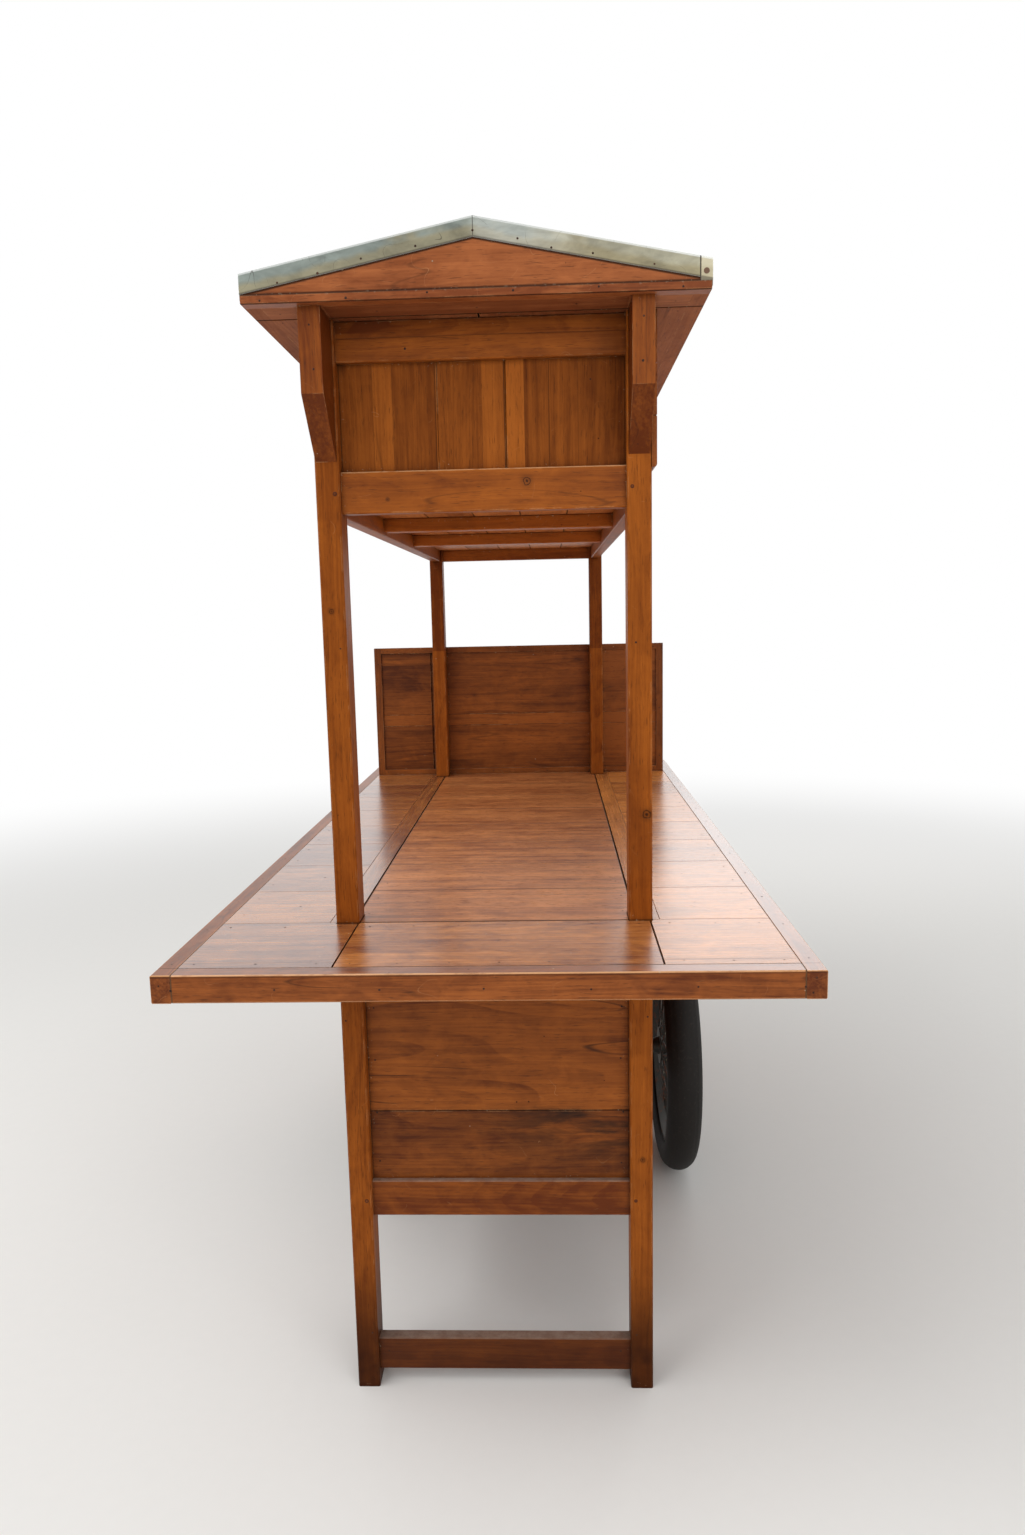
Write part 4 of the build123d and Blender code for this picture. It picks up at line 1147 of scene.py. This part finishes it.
# Nails through the sheet's end fold, in millimetres from the ridge towards the eaves
FOLD_NAILS = (-280, -225, -158, -82, 62, 111, 169, 254)
# Nails in a front leg and post, in metres across and up
LEG_NAILS = ((0.2535, 0.683), (0.2535, 0.760), (0.2335, 1.30), (0.232, 0.105))


def sheet_nails():
    """Nails along the lower edge of the sheet's folds."""
    low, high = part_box("roof_sheet")
    slope = (high.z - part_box("eave_boards")[1].z + 5 * MM) / high.x
    level = high.z - 22 * MM
    spots = [((x * MM, low.y, level - slope * abs(x) * MM), FRONT) for x in FOLD_NAILS]
    spots = mirrored(spots + [((0.0, low.y, level + 2 * MM), FRONT)], across=False)
    level = low.z + 10 * MM
    side = row((high.x, low.y + 0.06, level), (high.x, high.y - 0.06, level), 0.13, RIGHT)
    return spots + mirrored(side, along=False)


def trim_nails():
    """Nails through the trims and gables, and under the soffit's edges."""
    low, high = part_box("gable_trims")
    level = (low.z + high.z) / 2
    trims = row((low.x + 0.03, low.y, level), (high.x - 0.04, low.y, level), 0.11, FRONT)
    low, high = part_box("soffit_boards")
    side = high.x - 0.012
    edges = row((side, low.y + 0.08, low.z), (side, high.y - 0.08, low.z), 0.16, UNDER)
    ends = row((low.x + 0.02, low.y + 0.03, low.z), (high.x - 0.02, low.y + 0.03, low.z), 0.15, UNDER)
    return mirrored(trims, across=False) + mirrored(edges, along=False) + mirrored(ends, across=False)


def frame_nails():
    """Nails in the brackets, rails, legs and the closed side."""
    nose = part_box("brackets")[0].y
    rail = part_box("upper_rails_end")[0].y
    spots = [((0.243, nose, 1.770), FRONT), ((0.238, nose, 1.709), FRONT)]
    spots += [((x, POST_FACE, z), FRONT) for x, z in LEG_NAILS]
    spots = mirrored(spots + [((0.2045, rail, 0.062), FRONT)])
    spots += [((x, POST_FACE - 11 * MM, 1.6035), FRONT) for x in (0.231, 0.238, 0.245)]
    spots += [((-0.116, rail, 1.756), FRONT), ((0.17, rail, 1.70), FRONT)]
    low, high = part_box("shelf_side_board")
    for y in (POST_FACE + 0.025, -POST_FACE - 0.025):
        spots += row((high.x, y, low.z + 0.02), (high.x, y, high.z - 0.02), 0.06, RIGHT)
    return spots


def end_board_nails():
    """A few small nails along the edges of the cupboard's end boards."""
    low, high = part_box("cupboard_boards_end")
    x = high.x - 12 * MM
    return mirrored(row((x, low.y, low.z + 0.03), (x, low.y, high.z - 0.04), 0.09, FRONT))


def counter_nails():
    """Nails over the bearers, along the ends of the boards, and in the edge boards."""
    slab_low, slab_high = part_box("counter_slab")
    wing_low, wing_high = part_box("counter_wings")
    edge_low, edge_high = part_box("counter_edges_side")
    end_low, end_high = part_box("counter_ends")
    first, last = slab_low.y + 0.05, slab_high.y - 0.05
    # Each row is: distance from the middle, first and last place along the cart, step
    lengthwise = (
        (slab_high.x - 0.015, first, last, 0.098),
        (wing_high.x - 0.018, first, last, 0.098),
        (0.345, first + 0.05, last - 0.05, 0.197),
        (edge_high.x - 0.014, edge_low.y + 0.05, edge_high.y - 0.05, 0.17),
    )
    spots = []
    for x, start, end, step in lengthwise:
        spots += row((x, start, COUNTER_TOP), (x, end, COUNTER_TOP), step, TOP)
    level = COUNTER_TOP - 22 * MM
    start, end = (edge_high.x, edge_low.y + 0.06, level), (edge_high.x, edge_high.y - 0.06, level)
    spots = mirrored(spots + row(start, end, 0.18, RIGHT), along=False)
    # Each row is: first and last place across the cart, step
    crosswise = (
        (end_low.x + 0.02, end_high.x - 0.02, 0.078),
        (end_high.x + 0.03, wing_high.x - 0.02, 0.08),
        (end_low.x - 0.03, wing_low.x + 0.02, 0.08),
    )
    lines = []
    for y in (slab_low.y - 0.022, wing_low.y + 0.016):
        for start, end, step in crosswise:
            lines += row((start, y, COUNTER_TOP), (end, y, COUNTER_TOP), step, TOP)
    face, level = edge_low.y, COUNTER_TOP - 24 * MM
    lines += row((-0.45, face, level), (0.45, face, level), 0.15, FRONT)
    lines += [((x, face, z), FRONT) for x, z in ((0.466, 0.838), (0.462, 0.818), (-0.466, 0.835))]
    return spots + mirrored(lines, across=False)


def screen_nails():
    """Nails round the screen's frame."""
    low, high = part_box("screen_frame")
    spots = []
    for z in (high.z - 0.009, low.z + 0.009):
        spots += row((low.x + 0.03, low.y, z), (high.x - 0.03, low.y, z), 0.17, FRONT)
    for x in (low.x + 0.010, high.x - 0.010):
        spots += row((x, low.y, low.z + 0.05), (x, low.y, high.z - 0.05), 0.15, FRONT)
    return spots


class CART_OT_nails(bpy.types.Operator):
    """Set rows of nail heads in the sheet, trims, boards and counter"""

    bl_idname = "cart.nails"
    bl_label = "Nails"

    def execute(self, context):
        make_shader_groups()
        sizes = context.scene.cart_sizes
        colours = context.scene.cart_colours
        iron = steel_material("nail_iron", colours.nail, colours, 0.6, 0.55, scale=300.0)
        values = {"Radius": sizes.nail_radius, "Height": sizes.nail_height, "Crown": 0.65, "Finish": iron}
        values.update({"Scatter": 2.2 * MM, "Uneven": 0.35, "Sides": 10, "Seed": 5})
        groups = (
            ("nails_sheet", sheet_nails(), "zinc_sheet"),
            ("nails_trim", trim_nails(), "roof_wood"),
            ("nails_frame", frame_nails(), "frame_wood"),
            ("nails_cupboard", end_board_nails(), "board_wood"),
            ("nails_counter", counter_nails(), "counter_wood"),
            ("nails_screen", screen_nails(), "screen_wood"),
        )
        for name, spots, slot in groups:
            set_heads(name, spots, values, "cart")
        return {"FINISHED"}


def peg_spots():
    """Pegs through the tenons, on the outer faces of the posts."""
    low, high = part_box("posts_front")
    spots = [((x, low.y, z), FRONT) for x, z in ((0.231, 0.355), (0.230, 1.540), (0.231, 1.767))]
    inward = low.y + 38 * MM
    spots += [((high.x, inward, z), RIGHT) for z in (0.353, 0.766, 1.542)]
    return mirrored(spots)


class CART_OT_pegs(bpy.types.Operator):
    """Drive a wooden peg through each tenon"""

    bl_idname = "cart.pegs"
    bl_label = "Pegs"

    def execute(self, context):
        make_shader_groups()
        sizes = context.scene.cart_sizes
        colours = context.scene.cart_colours
        peg = Timber("pegs", "screen", "Y", tone=-0.1, wear=0.0, marks=0.0).material(colours)
        gap = Timber("peg_gaps", "screen", "Y", tone=-0.9, wear=0.0, grime=2.0, marks=0.0).material(colours)
        for name, share, height, finish in (("peg_gaps", 1.0, 0.4, gap), ("pegs", 0.62, 1.0, peg)):
            values = {"Radius": sizes.peg_radius * share, "Height": sizes.peg_height * height, "Crown": 0.8}
            values.update({"Scatter": 0.0, "Uneven": 0.2, "Sides": 16, "Seed": 1, "Finish": finish})
            set_heads(name, peg_spots(), values, "cart")
        return {"FINISHED"}


# Wheels

def tyre_profile(width, radius, seat, groove):
    """(along, radius) points of a worn, nearly smooth tyre, from one edge of the rim to the other."""
    bulge = 37 * MM
    middle = radius - bulge
    reach = math.acos((seat - middle) / bulge)
    steps = 48
    points = []
    for i in range(steps + 1):
        turn = reach * (2 * i / steps - 1)
        along = width / 2 * math.sin(turn)
        out = middle + bulge * math.cos(turn)
        near_groove = min(abs(abs(along) - 13 * MM), abs(abs(along) - 25 * MM))
        if near_groove < 1.2 * MM and out > radius - 14 * MM:
            out -= groove
        if abs(abs(turn) - reach * 0.80) < reach * 0.03:
            along += math.copysign(0.8 * MM, along)
        points.append((along, out))
    return points


class CART_OT_tyres(bpy.types.Operator):
    """Turn the tyres, with worn grooves and a rib on each side"""

    bl_idname = "cart.tyres"
    bl_label = "Tyres"

    def execute(self, context):
        sizes = context.scene.cart_sizes
        rubber = rubber_material(context.scene.cart_colours)
        for side in ("left", "right"):
            node = "tyre_" + side
            name = node + "_rubber"
            low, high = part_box(node)
            centre = (low + high) / 2
            centre.z = high.z / 2
            rim_low, rim_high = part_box("rim_" + side)
            seat = (rim_high.y - rim_low.y) / 2 + 0.3 * MM
            profile = tyre_profile(high.x - low.x, high.z / 2, seat, sizes.tread_groove)
            mesh = turned_mesh(name, profile, centre, (1, 0, 0), sizes.tyre_segments, rubber, closed=True)
            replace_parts(new_piece(name, mesh, "wheel_" + side), node)
        return {"FINISHED"}


def make_nipple_tree(name):
    """Spoke nipples round a rim, leaning to one flange and the other in turn."""
    inputs = {"Carrier": "Geometry", "Centre": "Vector", "Count": 36, "Rim radius": 0.2, "Offset": 0.006}
    inputs.update({"Radius": 0.0026, "Length": 0.012, "Finish": "Material"})
    tree, given = open_group(name, "GeometryNodeTree", inputs)
    _, centre, count, rim_radius, offset, radius, length, finish = given
    index = get(tree, "GeometryNodeInputIndex")
    angle = (index + 0.5) / count * (2 * math.pi)
    lean = (1.0 - calc("MODULO", index, 2.0) * 2.0) * offset
    out = joined(0.0, calc("COSINE", angle), calc("SINE", angle))
    away = vector_calc("SCALE", out, rim_radius - length * 0.5)
    spot = vector_calc("ADD", vector_calc("ADD", away, joined(lean, 0.0, 0.0)), centre)
    points = get(tree, "GeometryNodePoints", {"Count": count, "Position": spot})
    turned = get(tree, "FunctionNodeAlignRotationToVector", {"Vector": out}, axis="Z")
    body = get(tree, "GeometryNodeMeshCylinder", {"Vertices": 10, "Radius": radius, "Depth": length})
    return close_geometry(tree, {"Points": points, "Instance": body, "Rotation": turned}, finish)


class CART_OT_wheel_fittings(bpy.types.Operator):
    """Screw the spoke nipples into the rims and fit a valve to each wheel"""

    bl_idname = "cart.wheel_fittings"
    bl_label = "Wheel fittings"

    def execute(self, context):
        make_shader_groups()
        colours = context.scene.cart_colours
        brass = steel_material("nipple_metal", colours.brass, colours, 0.3, 0.35)
        rubber = bpy.data.materials["tyre_rubber"]
        # The valve, in millimetres: along it from the rim, radius
        outline = ((0, 0), (0, 3.2), (6, 3.2), (8, 2.4), (26, 2.4), (27, 1.8), (27, 0))
        profile = [(along * MM, radius * MM) for along, radius in outline]
        tree = make_nipple_tree("Spoke nipples")
        for side in ("left", "right"):
            low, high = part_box("rim_" + side)
            centre = (low + high) / 2
            bed = (high.y - low.y) / 2 - 26 * MM
            values = {"Centre": centre, "Count": 36, "Rim radius": bed, "Finish": brass}
            name = "nipples_" + side
            mesh = grown(name, bpy.data.meshes.new(name), tree, values)
            new_piece(name, mesh, "wheel_" + side)
            foot = centre + Vector((0, 0, bed))
            valve = turned_mesh("valve_" + side, profile, foot, (0, 0, -1), 16, rubber)
            new_piece("valve_" + side, valve, "wheel_" + side)
        return {"FINISHED"}


# Doors

class CART_OT_door_fittings(bpy.types.Operator):
    """Turn the door knobs and set screws in the hinges"""

    bl_idname = "cart.door_fittings"
    bl_label = "Door fittings"

    def execute(self, context):
        make_shader_groups()
        colours = context.scene.cart_colours
        wood = Timber("knobs", "screen", "Y", tone=0.1, wear=0.6, roughness=0.3).material(colours)
        iron = steel_material("screw_iron", colours.steel, colours, 0.5, 0.4, scale=200.0)
        values = {"Radius": 2.6 * MM, "Height": 0.6 * MM, "Crown": 0.7}
        values.update({"Scatter": 0.0, "Uneven": 0.0, "Sides": 12, "Finish": iron})
        fixed = []
        for side, end in (("front", -1), ("rear", 1)):
            self.turn_knob(side, wood)
            leaf, post = self.screw_spots(side, end)
            set_heads("hinge_screws_" + side, leaf, values, "door_" + side + "_leaf")
            fixed += post
        set_heads("hinge_screws_posts", fixed, values, "cart")
        return {"FINISHED"}

    def screw_spots(self, side, end):
        """Screws in the door's leaves and in the post's leaves of both hinges at one end."""
        low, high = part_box("door_" + side + "_leaves")
        post_low, post_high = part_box("hinge_post_leaves")
        pin = low.y + 4 * MM if end < 0 else high.y - 4 * MM
        face = -262.5 * MM
        third = HINGE_HEIGHT / 3
        leaf, post = [], []
        for foot in (post_low.z, post_high.z - HINGE_HEIGHT):
            middle = foot + HINGE_HEIGHT / 2
            leaf += [((face, pin - end * 15 * MM, middle + dz), LEFT) for dz in (-4 * MM, 4 * MM)]
            post += [((face, pin + end * 15 * MM, middle + dz), LEFT) for dz in (-third, third)]
        return leaf, post

    def turn_knob(self, side, wood):
        """A round knob on a short neck, in place of the plain one."""
        knob = "door_" + side + "_knob"
        low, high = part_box(knob)
        radius = (high.z - low.z) / 2
        length = high.x - low.x
        centre = Vector((high.x, (low.y + high.y) / 2, (low.z + high.z) / 2))
        neck = radius * 0.47
        profile = [(0, 0), (0, radius * 0.62), (length * 0.10, radius * 0.60), (length * 0.22, neck)]
        steps = 12
        for i in range(1, steps):
            angle = math.pi * i / steps
            along = length * (0.70 - 0.30 * math.cos(angle))
            profile.append((along, max(radius * math.sin(angle), neck if angle < 1.0 else 0.0)))
        profile.append((length, 0))
        mesh = turned_mesh(knob + "_turned", profile, centre, (-1, 0, 0), 32, wood)
        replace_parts(new_piece(knob + "_turned", mesh, "door_" + side + "_leaf"), knob)


# Stage

WHITE = (1.0, 1.0, 1.0, 1.0)


def seen(tree):
    """A mask of what is seen straight, in a mirror or through glass."""
    rays = put(tree, "LightPath").outputs
    return Value(rays["Is Camera Ray"]) | Value(rays["Is Glossy Ray"]) | Value(rays["Is Transmission Ray"])


class CART_OT_stage(bpy.types.Operator):
    """Set the pale floor, the soft lights, the pale surroundings and the camera"""

    bl_idname = "cart.stage"
    bl_label = "Stage"

    def execute(self, context):
        self.make_floor(context)
        self.make_world(context)
        self.make_lights()
        self.make_camera(context)
        context.scene.view_settings.view_transform = "Standard"
        return {"FINISHED"}

    def make_floor(self, context):
        """A wide pale disc that fades into the surroundings."""
        mesh = bpy.data.meshes.new("floor")
        shape = bmesh.new()
        bmesh.ops.create_circle(shape, cap_ends=True, segments=96, radius=40.0)
        shape.to_mesh(mesh)
        shape.free()
        material, tree, shader = start_material("floor")
        vector, _ = place(tree)
        far = ease(vector_calc("LENGTH", vector), 2.2, 6.5)
        colour = shaded(context.scene.cart_colours.floor, noise(vector, 40.0) * 0.02 + 0.99)
        feed(shader.inputs, {"Base Color": colour, "Roughness": 0.9, "Specular IOR Level": 0.0})
        glow = get(tree, "Emission", {"Color": WHITE, "Strength": 1.0})
        mixed = get(tree, "MixShader", {0: far * seen(tree), 1: Value(shader.outputs[0]), 2: glow})
        output = next(node for node in tree.nodes if node.type == "OUTPUT_MATERIAL")
        feed(output.inputs, {0: mixed})
        mesh.materials.append(material)
        new_object("floor", mesh)

    def make_world(self, context):
        """White where it is seen or mirrored, and softer where it lights the cart."""
        world = bpy.data.worlds.new("surroundings")
        world.use_nodes = True
        context.scene.world = world
        tree = world.node_tree
        tree.nodes.clear()
        background = get(tree, "Background", {"Color": WHITE, "Strength": seen(tree) * 0.38 + 0.62})
        put(tree, "OutputWorld", {0: background})

    def make_lights(self):
        """Large soft lamps. Each row is: name, place, target, size, power."""
        rows = (
            ("overhead_lamp", (-2.4, -1.8, 4.4), (0.0, -0.1, 0.9), 3.4, 110.0),
            ("front_lamp", (2.2, -4.2, 2.6), (0.0, -0.4, 1.0), 2.6, 40.0),
            ("rear_right_lamp", (1.5, 3.6, 2.4), (0.2, -0.5, 0.9), 1.8, 18.0),
        )
        for name, spot, target, size, power in rows:
            lamp = bpy.data.lights.new(name, "AREA")
            lamp.size = size
            lamp.energy = power
            holder = new_object(name, lamp)
            holder.location = spot
            holder.visible_camera = False
            aim = Vector(target) - Vector(spot)
            holder.rotation_euler = aim.to_track_quat("-Z", "Y").to_euler()

    def make_camera(self, context):
        """The camera stands in front of the front end, a little to the right, and looks down slightly."""
        view = context.scene.cart_view
        level_ahead = Vector((math.sin(view.yaw), math.cos(view.yaw), 0.0))
        ahead = level_ahead * math.cos(view.pitch) - Vector((0.0, 0.0, math.sin(view.pitch)))
        level = Vector((math.cos(view.yaw), -math.sin(view.yaw), 0.0))
        upright = level.cross(ahead)
        right = level * math.cos(view.roll) + upright * math.sin(view.roll)
        up = upright * math.cos(view.roll) - level * math.sin(view.roll)
        data = bpy.data.cameras.new("camera")
        data.lens = view.focus_pixels / IMAGE_HEIGHT * data.sensor_width
        camera = new_object("camera", data)
        turn = Matrix((right, up, -ahead)).transposed().to_4x4()
        camera.matrix_world = Matrix.Translation(view.place) @ turn
        context.scene.camera = camera


class CART_PT_panel(bpy.types.Panel):
    """Buttons for the cart's pieces, in the order in which they are made"""

    bl_idname = "CART_PT_panel"
    bl_label = "Food cart"
    bl_space_type = "VIEW_3D"
    bl_region_type = "UI"
    bl_category = "Food cart"

    def draw(self, context):
        column = self.layout.column()
        for operator in OPERATORS:
            column.operator(operator.bl_idname)
        for name, group in GROUPS:
            for key in group.__annotations__:
                column.prop(getattr(context.scene, name), key)


OPERATORS = (
    CART_OT_timber,
    CART_OT_metalwork,
    CART_OT_nails,
    CART_OT_pegs,
    CART_OT_tyres,
    CART_OT_wheel_fittings,
    CART_OT_door_fittings,
    CART_OT_stage,
)
GROUPS = (("cart_colours", CartColours), ("cart_sizes", CartSizes), ("cart_view", CartView))


def register():
    for name, group in GROUPS:
        bpy.utils.register_class(group)
        setattr(bpy.types.Scene, name, PointerProperty(type=group))
    for operator in OPERATORS:
        bpy.utils.register_class(operator)
    bpy.utils.register_class(CART_PT_panel)


def unregister():
    bpy.utils.unregister_class(CART_PT_panel)
    for operator in reversed(OPERATORS):
        bpy.utils.unregister_class(operator)
    for name, group in reversed(GROUPS):
        delattr(bpy.types.Scene, name)
        bpy.utils.unregister_class(group)


def main():
    """Make every piece in order."""
    register()
    bpy.ops.cart.timber()
    bpy.ops.cart.metalwork()
    bpy.ops.cart.nails()
    bpy.ops.cart.pegs()
    bpy.ops.cart.tyres()
    bpy.ops.cart.wheel_fittings()
    bpy.ops.cart.door_fittings()
    bpy.ops.cart.stage()


if __name__ == "__main__":
    main()
